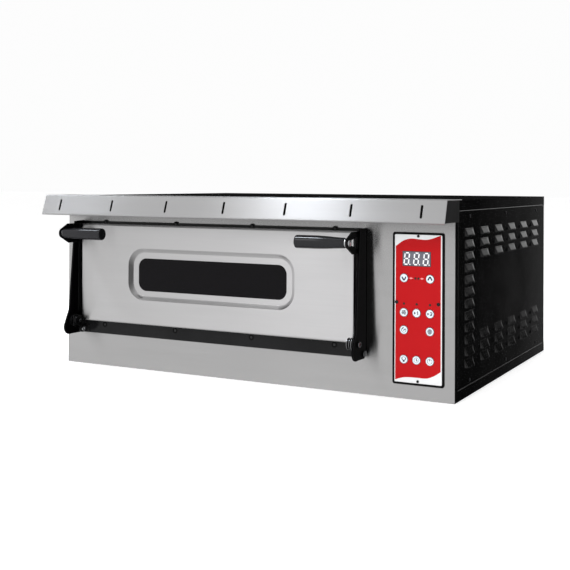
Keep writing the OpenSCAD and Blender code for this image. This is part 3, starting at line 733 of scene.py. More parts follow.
def lathe_bmesh(profile, centre, axis, n=48, bm=None):
    """Turns (radius, distance) points round an axis through centre; axis is a unit vector."""
    bm = bm or new_bmesh()
    a = Vector(axis).normalized()
    u = a.orthogonal().normalized()
    v = a.cross(u)
    c = Vector(centre)
    turns = [2 * math.pi * i / n for i in range(n)]
    rings = []
    for rad, s in profile:
        if rad < 1e-6:
            rings.append([bm.verts.new(c + a * s)])
        else:
            rings.append([bm.verts.new(c + a * s + (u * math.cos(t) + v * math.sin(t)) * rad)
                          for t in turns])
    skin(bm, rings)
    return bm


def turned(name, items, mat, body, stands_for=(), sharp=35, n=48):
    """One piece of one or several turned solids: (profile, centre, axis)."""
    bm = new_bmesh()
    for profile, centre, axis in items:
        lathe_bmesh(profile, centre, axis, n, bm)
    return add_piece(name, bm, mat, body, stands_for, sharp)


def loft(rings, bm=None):
    """A skin through rings of as many points each; also returns the rings' vertices."""
    bm = bm or new_bmesh()
    made = [[bm.verts.new(p) for p in ring] for ring in rings]
    skin(bm, made)
    return bm, made


def upgrade(node, bevel=0.4, seg=2):
    """Keeps a CAD node, with rounded edges and a finish."""
    o = frame["nodes"][node]
    o.data.materials.clear()
    o.data.materials.append(MATS[SLOT_OF[node]])
    for p in o.data.polygons:
        p.use_smooth = True
    weld = o.modifiers.new("weld", "WELD")
    weld.merge_threshold = 2e-6
    if bevel > 0:
        flat = o.modifiers.new("flat", "DECIMATE")
        flat.decimate_type = "DISSOLVE"
        flat.angle_limit = math.radians(1)
        b = o.modifiers.new("bevel", "BEVEL")
        b.width = bevel / 1000
        b.segments = seg
        b.limit_method = "ANGLE"
        b.angle_limit = math.radians(30)
        b.harden_normals = False
        b.miter_outer = "MITER_ARC"
    o.modifiers.new("normals", "WEIGHTED_NORMAL").weight = NORMAL_WEIGHT


# ---------------------------------------------------------------- cabinet sheet metal
DOOR_X = sum(b.x for b in box_mm("door_skin")) / 2
BACKWARDS, FORWARDS = (0, 1, 0), (0, -1, 0)


def bent_sheet(name, loops, t, r, path, mat, body, stands_for=()):
    """A flat pattern with holes, its v folded along path, a line of (y, z) points, its u along x.
    The pattern's front follows the path, and its thickness goes to the path's left."""
    bm = plate_bmesh(loops, t, r, lambda u, v, w: (u, v, w))
    reach = [0.0]
    for a, b in zip(path, path[1:]):
        reach.append(reach[-1] + math.hypot(b[0] - a[0], b[1] - a[1]))
    for s in reach[1:-1]:
        bmesh.ops.bisect_plane(bm, geom=bm.verts[:] + bm.edges[:] + bm.faces[:], plane_co=(0, s, 0),
                               plane_no=(0, 1, 0))
    normals = []
    for i in range(len(path)):
        side = []
        for j in (i - 1, i):
            if 0 <= j < len(path) - 1:
                d = Vector((path[j + 1][0] - path[j][0], path[j + 1][1] - path[j][1])).normalized()
                side.append(Vector((-d.y, d.x)))
        m = sum(side, Vector((0, 0)))
        normals.append(m / (m.length_squared / len(side)) if len(side) == 2 else m)
    for v in bm.verts:
        s = min(max(v.co.y, 0), reach[-1])
        i = max(k for k in range(len(path) - 1) if reach[k] <= s + 1e-9)
        f = (s - reach[i]) / (reach[i + 1] - reach[i])
        p = Vector(path[i]).lerp(Vector(path[i + 1]), f)
        p += normals[i].lerp(normals[i + 1], f) * v.co.z
        v.co = Vector((v.co.x, p.x, p.y))
    return add_piece(name, bm, mat, body, stands_for)


def open_path(points, radii, n=5):
    """A line of points with its inner corners rounded."""
    far = (points[-1][0], points[-1][1] - 1e4), (points[0][0], points[0][1] - 1e4)
    return filleted(points + list(far), [0] + radii + [0, 0, 0], n)[: 2 + (n + 1) * len(radii)]


SHEET = 1.5
SLOT_PITCH, SLOT_Z = 152.8, 391.5


def make_canopy():
    lo, hi = box_mm("canopy")
    reach_top, lip = -75.0, 10.0
    corners = [(hi.y, hi.z), (reach_top, hi.z), (lo.y, lo.z), (lo.y + lip, lo.z)]
    path = open_path(corners, [3.0, 2.6])
    length = sum(math.hypot(b[0] - a[0], b[1] - a[1]) for a, b in zip(path, path[1:]))
    slope = math.hypot(lo.y - reach_top, hi.z - lo.z)
    slot_mid = (corners[0][0] - corners[1][0]) + (hi.z - SLOT_Z) / (hi.z - lo.z) * slope
    loops = [rect(lo.x, 0, hi.x, length)]
    loops += [rounded((i - 3) * SLOT_PITCH, slot_mid, 5, 28, 2.4, 6) for i in range(7)]
    bent_sheet("canopy_sheet", loops, SHEET, 0.35, path, "canopy_steel", "cabinet", ("canopy",))
    down = Vector((lo.y - reach_top, lo.z - hi.z)).normalized()
    into = Vector((-down.y, down.x))

    def behind(u, v, w):
        """v down the slotted front, w away from the back of its sheet."""
        q = Vector((reach_top, hi.z)) + down * v + into * (2.6 + w)
        return (u, q.x, q.y)

    # A black strip just behind the slots: painted shade, so the slots read dark.
    strip = rect(lo.x + 8, 6, hi.x - 8, 42)
    flat_plate("canopy_slot_shade", [strip], 0.8, 0.2, behind, "seal", "cabinet")
    cad_plate("canopy_ends", "canopy_end_caps", 0, 0.3)


LOUVER_L, LOUVER_H, LOUVER_OUT = 58.0, 16.0, 6.5
LOUVER_Y, LOUVER_Z = 93.0, 344.9
LOUVER_STEP_Y, LOUVER_STEP_Z = 110.0, 24.9


def louver_places():
    """A full column at the front, and three rows at the top and three at the bottom behind it."""
    return [(LOUVER_Y + c * LOUVER_STEP_Y, LOUVER_Z - r * LOUVER_STEP_Z)
            for c in range(6) for r in range(12) if c == 0 or r < 3 or r > 8]


def louver_hood(bm, y, z, x_of):
    """A pressed louver: it rises from the sheet along its top and ends, and is open downwards."""
    half, thick = LOUVER_L / 2, 1.0
    nu, nv = 30, 9
    us = [math.sin((i / nu - 0.5) * math.pi) * half for i in range(nu + 1)]
    us = [0.35 * u + 0.65 * (i / nu - 0.5) * 2 * half for i, u in enumerate(us)]
    us[0], us[-1] = -half, half

    def rise(u, v):
        """The height over the sheet: the front end is steep, the rear end eases off."""
        ramp, power = (5.0, 2.8) if u < 0 else (12.0, 2.1)
        e = max(0.0, (abs(u) - half + ramp) / ramp)
        g = max(0.0, 1 - e ** power) ** (1 / power)
        s = v / (LOUVER_H - 1.0)
        return LOUVER_OUT * g * (s * s / 0.24 if s < 0.12 else min(1.0, (s - 0.06) / 0.94))

    def point(u, v, depth):
        out = max(rise(u, v) - depth, -0.4 - depth * 0.3)
        return x_of(out), y + u * (1 - depth * 0.03), z + LOUVER_H / 2 - v

    vs = [LOUVER_H * (k / nv) ** 1.2 for k in range(nv + 1)]
    shells = [[[bm.verts.new(point(u, v, depth)) for u in us] for v in vs]
              for depth in (0.0, thick)]
    for g, grid in enumerate(shells):
        for a, b in zip(grid, grid[1:]):
            for i in range(nu):
                q = a[i], a[i + 1], b[i + 1], b[i]
                bm.faces.new(q if g == 0 else (q[0], q[3], q[2], q[1]))
    out, inn = shells
    # The lower lip counts as half an edge, so its paint is lighter there: a rubbed edge and a
    # painted highlight.
    mark_edges(bm, out[-1], 0.5)
    for i in range(nu):
        bm.faces.new((out[-1][i], out[-1][i + 1], inn[-1][i + 1], inn[-1][i]))
        bm.faces.new((out[0][i + 1], out[0][i], inn[0][i], inn[0][i + 1]))
    for k in range(nv):
        bm.faces.new((out[k][0], out[k + 1][0], inn[k + 1][0], inn[k][0]))
        bm.faces.new((out[k + 1][-1], out[k][-1], inn[k][-1], inn[k + 1][-1]))


def make_side(name, node, sign):
    """A louvred side panel with its hoods, and dark seams along its two long edges."""
    lo, hi = box_mm(node)
    face = hi.x - LOUVER_OUT if sign > 0 else -lo.x - LOUVER_OUT
    loops = [rect(lo.y, lo.z, hi.y, hi.z)]
    loops += [rect(y - 26, z - 8, y + 26, z + 2) for y, z in louver_places()]
    bm = plate_bmesh(loops, SHEET, 0.7, lambda u, v, w: (sign * (face - SHEET + w), u, v), 4)
    for y, z in louver_places():
        louver_hood(bm, y, z, lambda d: sign * (face + d))
    add_piece(name, bm, "black_shell", "cabinet", (node,))
    rod = [(0, lo.y + 1), (0.8, lo.y + 1.2), (1.0, lo.y + 2),
           (1.0, hi.y - 2), (0.8, hi.y - 1.2), (0, hi.y - 1)]
    seams = [(rod, (sign * (face - 0.35), 0, z), BACKWARDS) for z in (lo.z - 0.2, hi.z + 0.2)]
    turned(name + "_seams", seams, "black_shell", "cabinet", n=20)


def clamp(v):
    return max(0.0, min(1.0, v))


def screw_bmesh(bm, centre, axis, r, h, kind="cross", n=40):
    """A domed screw head with its drive; axis points outwards from the sheet."""
    a = Vector(axis)
    u = Vector((0, 0, 1)) if abs(a.z) < 0.5 else Vector((1, 0, 0))
    v = a.cross(u)
    c = Vector(centre)

    def height(rad, ang):
        q = rad / r
        dome = h * (0.45 + 0.55 * math.sqrt(max(0.0, 1 - q * q * 0.92))) if q < 0.97 else h * 0.45
        x, y = rad * math.cos(ang), rad * math.sin(ang)
        if kind == "cross":
            inside = max(clamp((r * 0.56 - abs(p)) / 0.25) * clamp((r * 0.11 - abs(q)) / 0.12 + 0.5)
                         for p, q in ((x, y), (y, x)))
        else:
            sides = (0, math.pi / 3, 2 * math.pi / 3)
            k = max(abs(x * math.cos(b) + y * math.sin(b)) for b in sides)
            inside = clamp((r * 0.46 - k) / 0.15)
        return dome - inside * h * 0.75

    radii = [r * q for q in (0.10, 0.18, 0.26, 0.36, 0.46, 0.56, 0.64, 0.74, 0.84, 0.92, 0.97, 1.0)]
    top = bm.verts.new(c + a * height(0, 0))
    turns = [2 * math.pi * i / n for i in range(n)]
    rings = [[bm.verts.new(c + a * height(rad, t) + (u * math.cos(t) + v * math.sin(t)) * rad)
              for t in turns] for rad in radii]
    base = [bm.verts.new(p.co - a * (p.co - c).dot(a)) for p in rings[-1]]
    skin(bm, [[top]] + rings + [base])
    bm.faces.new(base)


def screws(name, places, mat, body, stands_for=(), kind="cross"):
    bm = new_bmesh()
    for centre, axis, r, h in places:
        screw_bmesh(bm, centre, axis, r, h, kind)
    return add_piece(name, bm, mat, body, stands_for, 50)


# Screws and faces of the cabinet, as in the CAD
SIDE_X, BACK_Y, MOUTH_Y = 500, 750, -3
SIDE_SCREWS = [(y, z) for y in (98.7, 376.7, 660.0) for z in (33.2, 378.3)]
BACK_SCREWS = [(x, z) for x in (-450, -150, 150, 450) for z in (45, 380)]
MOUTH_SCREWS = [(DOOR_X + i * 205.6, z) for i in (-1.5, -0.5, 0.5, 1.5) for z in (99.5, 348.1)]


def make_cabinet():
    cad_plate("fascia_sheet", "front_fascia", 1, 0.4)
    make_side("louvered_side_right", "side_panel_right", 1)
    make_side("louvered_side_left", "side_panel_left", -1)
    cad_plate("back_sheet", "back_panel", 1, 0.35)
    for node in ("base_tray", "roof_cover", "corner_posts"):
        upgrade(node, 0.7, 3)
    places = [((s * SIDE_X, y, z), (s, 0, 0), 3.8, 1.6) for s in (-1, 1) for y, z in SIDE_SCREWS]
    places += [((x, BACK_Y, z), BACKWARDS, 3.8, 1.6) for x, z in BACK_SCREWS]
    screws("cabinet_screw_heads", places, "dark_screw", "cabinet", ("cabinet_screws",))
    cad_plate("mouth_plate", "mouth_frame", 1, 0.7, mat="rail_black")
    heads = [((x, MOUTH_Y, z), FORWARDS, 2.9, 0.6) for x, z in MOUTH_SCREWS]
    screws("mouth_screw_heads", heads, "rail_screw", "cabinet", ("mouth_frame_screws",))
    # A thin black ring laid on the rail round each screw: painted shade of its countersink.
    ring = [(2.9, 0), (6.4, 0), (6.4, -0.04), (6.2, -0.09), (3.1, -0.09), (2.9, -0.04), (2.9, 0)]
    shade_rings = [(ring, (x, MOUTH_Y, z), BACKWARDS) for x, z in MOUTH_SCREWS]
    turned("mouth_screw_shade_rings", shade_rings, "seal", "cabinet", n=32)


# ---------------------------------------------------------------- door


def make_skin():
    """The door's front as one loft: bent edge, flat face and the pressing round the window."""
    lo, hi = box_mm("door_skin")
    cx, cz = DOOR_X, (lo.z + hi.z) / 2
    w, h = hi.x - lo.x, hi.z - lo.z
    bend = 5.0
    outer = [(0, hi.y)] + [(bend * (1 - math.cos(a)), lo.y + bend * (1 - math.sin(a)))
                           for a in [k * math.pi / 10 for k in range(6)]]
    n = 10

    def ring(ww, hh, r, y, dz=0.0):
        return [(u, y, v) for u, v in rounded(cx, cz + dz, ww, hh, r, n)]

    rings = [ring(w - 2 * i, h - 2 * i, 5.2, y) for i, y in outer]
    press = filleted([(-60, lo.y), (0, lo.y), (9.7, lo.y + 10), (23.9, lo.y + 10),
                      (23.9, lo.y + 11.1), (-60, lo.y + 60)],
                     [0, 2.6, 3.2, 0.6, 0, 0], 5)
    press = [p for p in press if p[0] > -10]
    press_w, press_h, press_r, press_rise = 444.7, 122.2, 41, 1.2
    for i, y in press:
        rise = press_rise * (1 - max(0, i) / 24)
        rings.append(ring(press_w - 2 * i, press_h - 1.9 * i, press_r - 0.83 * i, y, rise))
    bm, made = loft(rings)
    # The bend round the door's edge counts as a quarter edge, so its steel is a little lighter
    # there: a painted highlight on the bend.
    mark_edges(bm, [v for ring_ in made[2:6] for v in ring_], 0.25)
    o = add_piece("door_skin_pressed", bm, "door_steel", "door", ("door_skin",))
    # A thickness, for the places where the skin is seen from behind
    s = o.modifiers.new("sheet", "SOLIDIFY")
    s.thickness = 0.001
    s.offset = -1
    o.modifiers.move(1, 0)


# Half the door's width over its levers; y and z of the bush bolts and of the hinge pins
DOOR_HALF = 377.5
BUSH, HINGE = (-40, 110.5), (-13, 88)


def both_sides(profile, out, y, z):
    """A turned solid at each side of the door, out from its middle, with its axis outwards."""
    return [(profile, (DOOR_X + side * out, y, z), (side, 0, 0)) for side in (1, -1)]


def make_grips():
    low, high = box_mm("grip_right")
    y, z, e = (low.y + high.y) / 2, (low.z + high.z) / 2, high.x - low.x - 0.05
    moulding = [(0, 0.2), (9.4, 0.2), (10.4, 0.7), (10.9, 1.8), (11.3, 10), (12.0, 24), (12.8, 36),
                (13.4, 46), (13.8, 56), (14, 66), (14, e - 4.2), (13.9, e - 2.4), (13.5, e - 1.1),
                (12.9, e - 0.6), (12.3, e - 0.5), (0, e - 0.5)]
    end = [(0, e - 0.6), (12.4, e - 0.6), (12.4, e - 0.2), (12.1, e), (11.4, e), (11.1, e - 0.3),
           (10.9, e - 0.4), (4.4, e - 0.4), (4.1, e - 0.3), (3.7, e - 0.05), (3.1, e), (0, e)]
    for side, name in ((1, "grip_right"), (-1, "grip_left")):
        c = Vector((DOOR_X + side * (DOOR_HALF - 8), y, z))
        # The recessed end face gets the darker finish: painted shade.
        parts = (("_moulding", moulding, "grip_black", (name,), 60),
                 ("_end", end, "grip_end", (), 50))
        for part, profile, mat, stands_for, sharp in parts:
            solid = [(profile, c, (-side, 0, 0))]
            o = turned(name + part, solid, mat, "door", stands_for, sharp, 56)
            # The photo's door mirrors neither grip
            o.visible_glossy = False
    bolt = [(0, -70), (4, -70), (4, 0), (7, 0), (7, 1.8), (6.5, 3.2), (5.2, 4.3), (3.2, 4.9),
            (0, 5.0)]
    washer = [(4.1, -8), (8.1, -8), (8.5, -7.6), (8.5, -4.4), (8.1, -4), (4.1, -4)]
    items = both_sides(bolt, DOOR_HALF, y, z) + both_sides(washer, DOOR_HALF, y, z)
    turned("grip_bolt_set", items, "zinc", "door", ("grip_bolts",))


def make_bushes():
    """Two discs at the foot of each lever, and bright rims on the right ones, as in the photo."""
    items, rims = [], []
    for d, r in ((-8.4, 16.0), (-19.9, 13.0)):
        body = [(4.2, d), (r - 1.4, d), (r - 0.9, d + 0.5), (r - 0.9, d + 7.8), (r - 1.4, d + 8.3),
                (4.2, d + 8.3), (4.2, d)]
        items += both_sides(body, DOOR_HALF, *BUSH)
        for e in (d + 0.6, d + 6.2):
            rim = [(r - 1.0, e), (r - 0.3, e), (r, e + 0.4), (r, e + 1.1), (r - 0.3, e + 1.5),
                   (r - 1.0, e + 1.5), (r - 1.0, e)]
            rims += both_sides(rim, DOOR_HALF, *BUSH)[:1]
    turned("bush_set", items, "bush_black", "door", ("hinge_bushes",))
    turned("bush_rims", rims, "rim_steel", "door")
    bm = new_bmesh()
    shank = [(0, -24), (3.4, -24), (4, -23.4), (4, 4)]
    for _, centre, axis in both_sides(shank, DOOR_HALF, *BUSH):
        lathe_bmesh(shank, centre, axis, 32, bm)
        screw_bmesh(bm, Vector(centre) + 4 * Vector(axis), axis, 6.5, 5, "hex")
    add_piece("bush_bolt_set", bm, "bolt_dark", "door", ("bush_bolts",), 50)


def make_door():
    make_skin()
    cad_plate("window_glass_panes", "window_panes", 1, 0.6)
    cad_plate("window_seal", "window_gasket", 1, 0.5)
    upgrade("door_tray", 0.5)
    upgrade("door_insulation", 0)
    cad_plate("lever_plate_left", "lever_left", 0, 0.7)
    cad_plate("lever_plate_right", "lever_right", 0, 0.7)
    cad_plate("bracket_straps", "handle_brackets", 0, 1.0)
    make_grips()
    make_bushes()


def make_hinges():
    upgrade("hinge_brackets", 0.4)
    out = box_mm("hinge_pins")[1].x - DOOR_X
    pin = [(0, -17.4), (3.5, -17.4), (4, -16.9), (4, -4), (6.1, -4), (6.5, -3.6), (6.5, -1.4),
           (5.9, -0.5), (4.6, 0), (0, 0)]
    turned("hinge_pin_set", both_sides(pin, out, *HINGE), "bolt_dark", "cabinet", ("hinge_pins",))
    nut = [(0, -26), (2.9, -26), (3.4, -25.4), (3.4, -23), (5.6, -23), (6.4, -22.5), (6.6, -21.8),
           (6.6, -18.6), (6.4, -18.0), (5.6, -17.5), (0, -17.5)]
    turned("hinge_pin_nuts", both_sides(nut, out, *HINGE), "zinc", "cabinet")


# ---------------------------------------------------------------- control panel
PANEL_X = sum(b.x for b in box_mm("control_gasket")) / 2
CARD_FACE = -2.2
# Places on the card, as x from its middle and z
COLUMNS = (-31, -3.2, 25.8)
TOP_ROW = 250.5
KEYS = {
    "button_down": (COLUMNS[0], TOP_ROW), "button_up": (COLUMNS[2], TOP_ROW),
    "button_set": (COLUMNS[0], 179.2), "button_program_1": (COLUMNS[1], 179.2),
    "button_program_2": (COLUMNS[2], 179.2),
    "button_delay": (COLUMNS[0], 143), "button_elements": (COLUMNS[2], 143),
    "button_lamp": (COLUMNS[0], 82.2), "button_timer": (COLUMNS[1], 82.2),
    "button_power": (COLUMNS[2], 82.2),
}
LEDS = [(x, 197.4) for x in COLUMNS] + [(x, TOP_ROW) for x in (-6, 0.6)]
SIDE_SCREW_X, SIDE_SCREW_Z = (-47.2, 44), 199.8


def catmull(points, n=8):
    """A smooth line through points."""
    out = []
    p = [points[0]] + list(points) + [points[-1]]
    for i in range(1, len(p) - 2):
        a, b, c, d = (Vector(q) for q in p[i - 1:i + 3])
        for k in range(n):
            t = k / n
            curve = (2 * b) + (c - a) * t + (2 * a - 5 * b + 4 * c - d) * t * t
            out.append(tuple(0.5 * (curve + (3 * b - a - 3 * c + d) * t ** 3)))
    out.append(tuple(points[-1]))
    return out


def ribbon(bm, points, width, y0, y1, closed=False):
    """A printed line of that width, as a thin solid from y0 back to y1, along (x, z) points."""
    n = len(points)
    rows = []
    for i in range(n):
        a = Vector(points[i - 1]) if closed or i else None
        b = Vector(points[i])
        c = Vector(points[(i + 1) % n]) if closed or i < n - 1 else None
        d1 = (b - a).normalized() if a is not None else None
        d2 = (c - b).normalized() if c is not None else None
        d1, d2 = d1 or d2, d2 or d1
        n1, n2 = Vector((-d1.y, d1.x)), Vector((-d2.y, d2.x))
        m = (n1 + n2) / max(0.5, 1 + n1.dot(n2)) * width / 2
        corners = ((1, y0), (-1, y0), (-1, y1), (1, y1))
        rows.append([bm.verts.new((b.x + s * m.x, y, b.y + s * m.y)) for s, y in corners])
    skin(bm, rows + rows[:1] if closed else rows)
    if not closed:
        bm.faces.new(rows[0])
        bm.faces.new(rows[-1][::-1])


def disc(bm, cx, cz, r, y0, y1, n=24):
    lathe_bmesh([(0, 0), (r, 0), (r, y1 - y0), (0, y1 - y0)], (cx, y0, cz), (0, 1, 0), n, bm)


# The seven bars of a digit, in a box 1 wide and 2 tall
DIGIT_BARS = (((0, 2), (1, 2)), ((1, 2), (1, 1)), ((1, 1), (1, 0)), ((0, 0), (1, 0)),
              ((0, 1), (0, 0)), ((0, 2), (0, 1)), ((0, 1), (1, 1)))
STROKE = 1.25


def icon(bm, kind, cx, cz, y0, y1):
    """Small printed signs, about 12 mm across."""
    def line(points, width=1.3, closed=False):
        ribbon(bm, [(cx + x, cz + z) for x, z in points], width * STROKE, y0, y1, closed)

    if kind == "button_down":
        line([(-6.2, 4.6), (0, -4.8), (6.2, 4.6)], 2.2)
    elif kind == "button_up":
        line([(-6.2, -4.6), (0, 4.8), (6.2, -4.6)], 2.2)
    elif kind == "button_set":
        for z, x in ((3.0, 1.8), (0, -2.0), (-3.0, 2.6)):
            line([(-6.2, z), (x - 1.3, z)], 1.15)
            line([(x + 1.3, z), (6.2, z)], 1.15)
            line(circle(x, z, 1.15, 14), 0.95, True)
    elif kind in ("button_program_1", "button_program_2"):
        for k in range(4):
            line([(-5.1 + k * 0.95, 2.9 - k * 0.78), (-5.1 + k * 0.95, -2.9 + k * 0.78)], 1.0)
        if kind[-1] == "1":
            line([(0.9, 1.7), (2.7, 3.1), (2.7, -3.3)], 1.5)
        else:
            two = [(0.9, 1.8), (1.5, 2.8), (2.9, 3.2), (4.3, 2.5), (4.4, 1.1), (3.3, -0.5),
                   (1.0, -2.6)]
            line(catmull(two, 4) + [(5.1, -2.7)], 1.4)
    elif kind == "button_delay":
        line(arc(0, -0.6, 5.0, 105, 400, 26), 1.35)
        line([(-2.4, 6.3), (-0.6, 4.5), (-2.8, 2.7)], 1.2)
        line([(2.9, 2.2), (0, -0.8), (-1.2, -0.8)], 1.25)
    elif kind == "button_elements":
        line(rounded(0, 0, 10.4, 9.4, 1.4, 4), 0.9, True)
        for z in (-2.5, 0, 2.5):
            line([(x * 0.5, z + 0.6 * math.sin(x * 1.3)) for x in range(-8, 9)], 1.0)
    elif kind == "button_lamp":
        line(arc(0, 1.7, 4.0, -58, 238, 24), 1.35)
        line([(-1.7, -1.9), (1.7, -1.9)], 1.2)
        line([(0, -2.4), (0, -5.9)], 3.2)
    elif kind == "button_timer":
        line(circle(0, 0, 5.6, 30), 1.2, True)
        line([(0, 3.4), (0, -0.2), (2.5, -1.9)], 1.3)
    elif kind == "button_power":
        line(arc(0, -0.3, 5.4, 118, 422, 28), 1.3)
        line([(0, 0.6), (0, 6.0)], 1.4)


def make_display(lo, hi):
    """The window with its border, the unlit cells and three plain eights with their points."""
    mid = (lo + hi) / 2
    w, h = hi.x - lo.x - 0.2, hi.z - lo.z - 0.2
    ring = [rounded(mid.x, mid.z, w, h, 0.8), rounded(mid.x, mid.z, w - 2.6, h - 2.6, 0.6)]
    flat_plate("display_border", ring, 2.6, 0.25, front_facing(-2.7), "display_edge", "cabinet",
               ("display_lens",))
    pane = [rounded(mid.x, mid.z, w - 2.7, h - 2.7, 0.6)]
    flat_plate("display_window", pane, 2.2, 0.15, front_facing(-2.45), "display_face", "cabinet")
    digits, cells = new_bmesh(), new_bmesh()
    front, cell_front, back = -2.53, -2.50, -2.44
    dw, dh, slant, pitch = 9.6, 23.8, 0.12, 21.0
    for i in range(3):
        cx = mid.x + (i - 1) * pitch - 0.6
        for a, b in DIGIT_BARS:
            pa, pb = Vector(a), Vector(b)
            d = (pb - pa).normalized()
            d = Vector((d.x * 0.17, d.y * 0.14))
            pts = []
            for q in (pa + d, pb - d):
                x, z = (q.x - 0.5) * dw, (q.y - 1) * dh / 2
                pts.append((cx + x + z * slant, mid.z + z))
            ribbon(digits, pts, 2.8, front, back)
        for z in (-dh / 4, dh / 4):
            half = dw / 2 - 2.2
            pts = [(cx + s * half + z * slant, mid.z + z) for s in (-1, 1)]
            ribbon(cells, pts, dh / 2 - 4.2, cell_front, back)
        disc(digits, cx + dw / 2 + 3.5 - dh / 2 * slant, mid.z - dh / 2, 1.35, front, back)
    add_piece("display_digits", digits, "digit_white", "cabinet", (), 30)
    add_piece("display_cells", cells, "display_cell", "cabinet", (), 30)


def make_button(name, x, z):
    """A domed cap with its printed sign and dark rim, all on the button's own body."""
    c = (PANEL_X + x, 0, z)
    face = CARD_FACE - 1.0
    cap = [(0, face + 0.28), (4, face + 0.24), (7.2, face + 0.08), (8.1, face), (8.6, face + 0.10),
           (8.92, face + 0.4), (9.0, face + 0.8), (9.0, 0.3), (10, 0.3), (10, 1.5), (3, 1.5),
           (3, 10.5), (0, 10.5)]
    turned(name + "_cap", [(cap, c, BACKWARDS)], "key_cap", name, (name,), 40)
    bm = new_bmesh()
    icon(bm, name, c[0], c[2], face + 0.17, face + 0.4)
    add_piece(name + "_sign", bm, "key_print", name, (), 30)
    rim = [(8.2, face - 0.02), (8.6, face + 0.06), (8.95, face + 0.38), (9.04, face + 0.8),
           (9.04, face + 1.3), (8.8, face + 1.3), (8.2, face + 0.2), (8.2, face - 0.02)]
    turned(name + "_rim", [(rim, c, BACKWARDS)], "key_print", name, (), 50)


def make_panel():
    cad_plate("panel_gasket", "control_gasket", 1, 1.0)
    cad_plate("panel_card", "control_plate", 1, 0.25, mat="panel_white")
    top = catmull([(470.9, 340.6), (461, 336.8), (449, 332.6), (436.9, 330.8), (423, 331.6),
                   (410, 332.6), (401, 331.9), (388, 327.2), (372.6, 316.2)])
    low = catmull([(371.9, 38.6), (381, 41.9), (392, 44.9), (405, 46.0), (421, 46.2),
                   (436, 46.2), (445.4, 47.8), (458, 53.6), (471.1, 62.6)])
    holes = [circle(PANEL_X + x, z, 9.35, 40) for x, z in KEYS.values()]
    holes += [circle(PANEL_X + x, z, 1.75, 20) for x, z in LEDS]
    holes += [circle(PANEL_X + x, SIDE_SCREW_Z, 1.7, 20) for x in SIDE_SCREW_X]
    lo, hi = box_mm("display_lens")
    holes.append(rect(lo.x, lo.z, hi.x, hi.z))
    ink = 0.09
    flat_plate("panel_red_print", [top + low] + holes, ink, 0.02, front_facing(CARD_FACE - ink),
               "panel_red", "cabinet", seg=1)
    make_display(lo, hi)

    bm = new_bmesh()
    for x in (-15.9, 8.2):
        dash = [(PANEL_X + x - 4.6, TOP_ROW), (PANEL_X + x + 4.6, TOP_ROW)]
        ribbon(bm, dash, 1.0, CARD_FACE - 0.14, CARD_FACE)
        disc(bm, PANEL_X + x, TOP_ROW, 2.3, CARD_FACE - 0.15, CARD_FACE, 4)
    add_piece("panel_marks", bm, "mark_pink", "cabinet", (), 30)

    dome = [(0, -1.1), (0.9, -1.04), (1.8, -0.78), (2.35, -0.38), (2.5, 0.0), (1.5, 0.1),
            (1.5, 5.0), (0, 5.0)]
    domes = [(dome, (PANEL_X + x, CARD_FACE, z), BACKWARDS) for x, z in LEDS]
    turned("indicator_led_domes", domes, "led_lens", "cabinet", ("indicator_leds",), n=28)
    heads = [(0, 337.8, 2.9, 1.4), (-0.4, 38.6, 2.9, 1.4)]
    heads += [(x, SIDE_SCREW_Z, 3.7, 2.4) for x in SIDE_SCREW_X]
    places = [((PANEL_X + x, CARD_FACE, z), FORWARDS, r, h) for x, z, r, h in heads]
    screws("panel_screw_heads", places, "screw_black", "cabinet", ("control_screws",), "hex")
    for name, (x, z) in KEYS.items():
        make_button(name, x, z)


# ---------------------------------------------------------------- back fittings
def span_y(node):
    """A back fitting's x and z, and where it begins and ends along y."""
    lo, hi = box_mm(node)
    return (lo.x + hi.x) / 2, (lo.z + hi.z) / 2, lo.y, hi.y


def nut(bm, x, z, r, fillet, n, bore, y, thick, edge, seg):
    """A hexagon nut of corner radius r on the back, its face at y."""
    corners = [(r * math.cos(k * math.pi / 3), r * math.sin(k * math.pi / 3)) for k in range(6)]
    outer = [(x + u, z + v) for u, v in filleted(corners, fillet, n)]
    plate_bmesh([outer, bore], thick, edge, front_facing(y), seg, bm)


def make_steam_outlet():
    x, z, s, e = span_y("steam_outlet")
    pipe = [(18.5, s), (20, s), (20, 750), (31.5, 750), (32.5, 750.6), (32.5, 751.6), (31.8, 752),
            (22.5, 752), (21.0, 753.2), (20, 755), (20, 778), (20.0, e - 1.4), (19.7, e - 0.5),
            (19.25, e), (18.8, e - 0.5), (18.5, e - 1.4), (18.5, s)]
    turned("steam_pipe", [(pipe, (x, 0, z), BACKWARDS)], "outlet_steel", "cabinet",
           ("steam_outlet",), n=64)
    angles = [math.pi / 4 + k * math.pi / 2 for k in range(4)]
    places = [((x + 27 * math.cos(a), 752, z + 27 * math.sin(a)), BACKWARDS, 2.4, 1.1)
              for a in angles]
    screws("steam_pipe_rivets", places, "zinc", "cabinet", (), "hex")


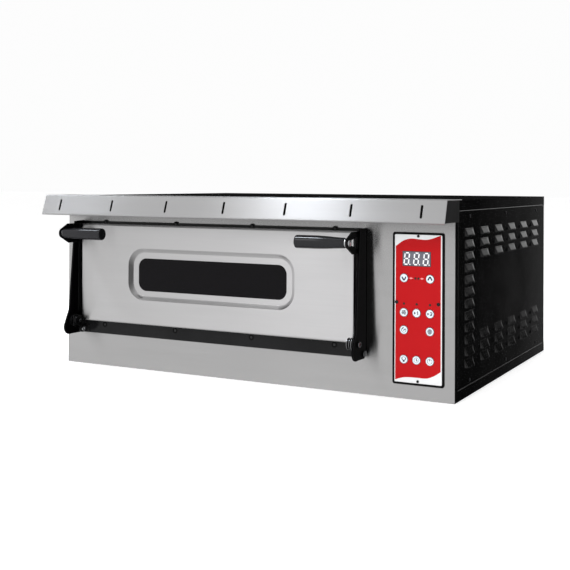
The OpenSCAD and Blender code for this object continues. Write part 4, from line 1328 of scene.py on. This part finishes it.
def make_cable_gland():
    x, z, s, _ = span_y("cable_gland")
    bore = 6.5
    bm = new_bmesh()
    inner = [(bore, s), (9.6, s), (10, s + 0.5), (10, BACK_Y), (bore, BACK_Y)]
    lathe_bmesh(inner, (x, 0, z), BACKWARDS, 40, bm)
    nut(bm, x, z, 15, 1.5, 4, circle(x, z, bore, 40), BACK_Y, 7, 0.8, 3)
    n = 72
    rings = []
    for y, r, flute in ((757.2, 11.4, 0), (758.4, 11.5, 1), (768, 11.3, 1), (770.5, 10.6, 0.4),
                        (772.6, 9.4, 0), (773.8, 7.6, 0), (773.9, 6.8, 0), (773.2, bore, 0),
                        (757.2, bore, 0)):
        ring = []
        for k in range(n):
            rad = r - flute * 0.5 * (k % 6 in (0, 1))
            t = 2 * math.pi * k / n
            ring.append((x + rad * math.cos(t), y, z + rad * math.sin(t)))
        rings.append(ring)
    loft(rings + rings[:1], bm)
    bmesh.ops.remove_doubles(bm, verts=bm.verts, dist=1e-4)
    add_piece("cable_gland_body", bm, "gland_plastic", "cabinet", ("cable_gland",), 40)


def make_earth_stud():
    x, z, s, e = span_y("earth_stud")
    root, crest, pitch = 2.65, 2.98, 1.0
    thread = [(0, s), (root, s + 0.2)]
    y = s + 0.2
    while y < e - 1.2:
        thread += [(crest, y + pitch / 2), (root, y + pitch)]
        y += pitch
    thread += [(2.4, e), (0, e)]
    bm = new_bmesh()
    lathe_bmesh(thread, (x, 0, z), BACKWARDS, 32, bm)
    washer = [(3.1, 750), (6.8, 750), (7, 750.2), (7, 751.2), (6.8, 751.4), (3.1, 751.4),
              (3.1, 750)]
    lathe_bmesh(washer, (x, 0, z), BACKWARDS, 40, bm)
    nut(bm, x, z, 5.8, 0.5, 3, circle(x, z, 3.05, 32), 751.5, 5, 0.5, 2)
    add_piece("earth_stud_set", bm, "brass", "cabinet", ("earth_stud",), 40)


# ---------------------------------------------------------------- inside
def make_inside():
    """The parts inside keep the CAD's shape, with a bevel in millimetres."""
    upgrade("refractory_stones", 1.5, 3)
    for node, bevel in (
            ("chamber_liner", 0.3), ("heating_elements", 0), ("insulation_slabs", 0),
            ("lamp_housing", 0), ("lamp_bulb", 0), ("lamp_glass", 0.4), ("temperature_probe", 0),
            ("bay_partition", 0.3), ("control_board", 0.2), ("contactors", 0.8),
            ("transformer", 0.8), ("terminal_block", 0.4), ("safety_thermostat", 0.5),
            ("display_module", 0.3)):
        upgrade(node, bevel)


make_canopy()
make_cabinet()
make_door()
make_hinges()
make_panel()
make_steam_outlet()
make_cable_gland()
make_earth_stud()
make_inside()
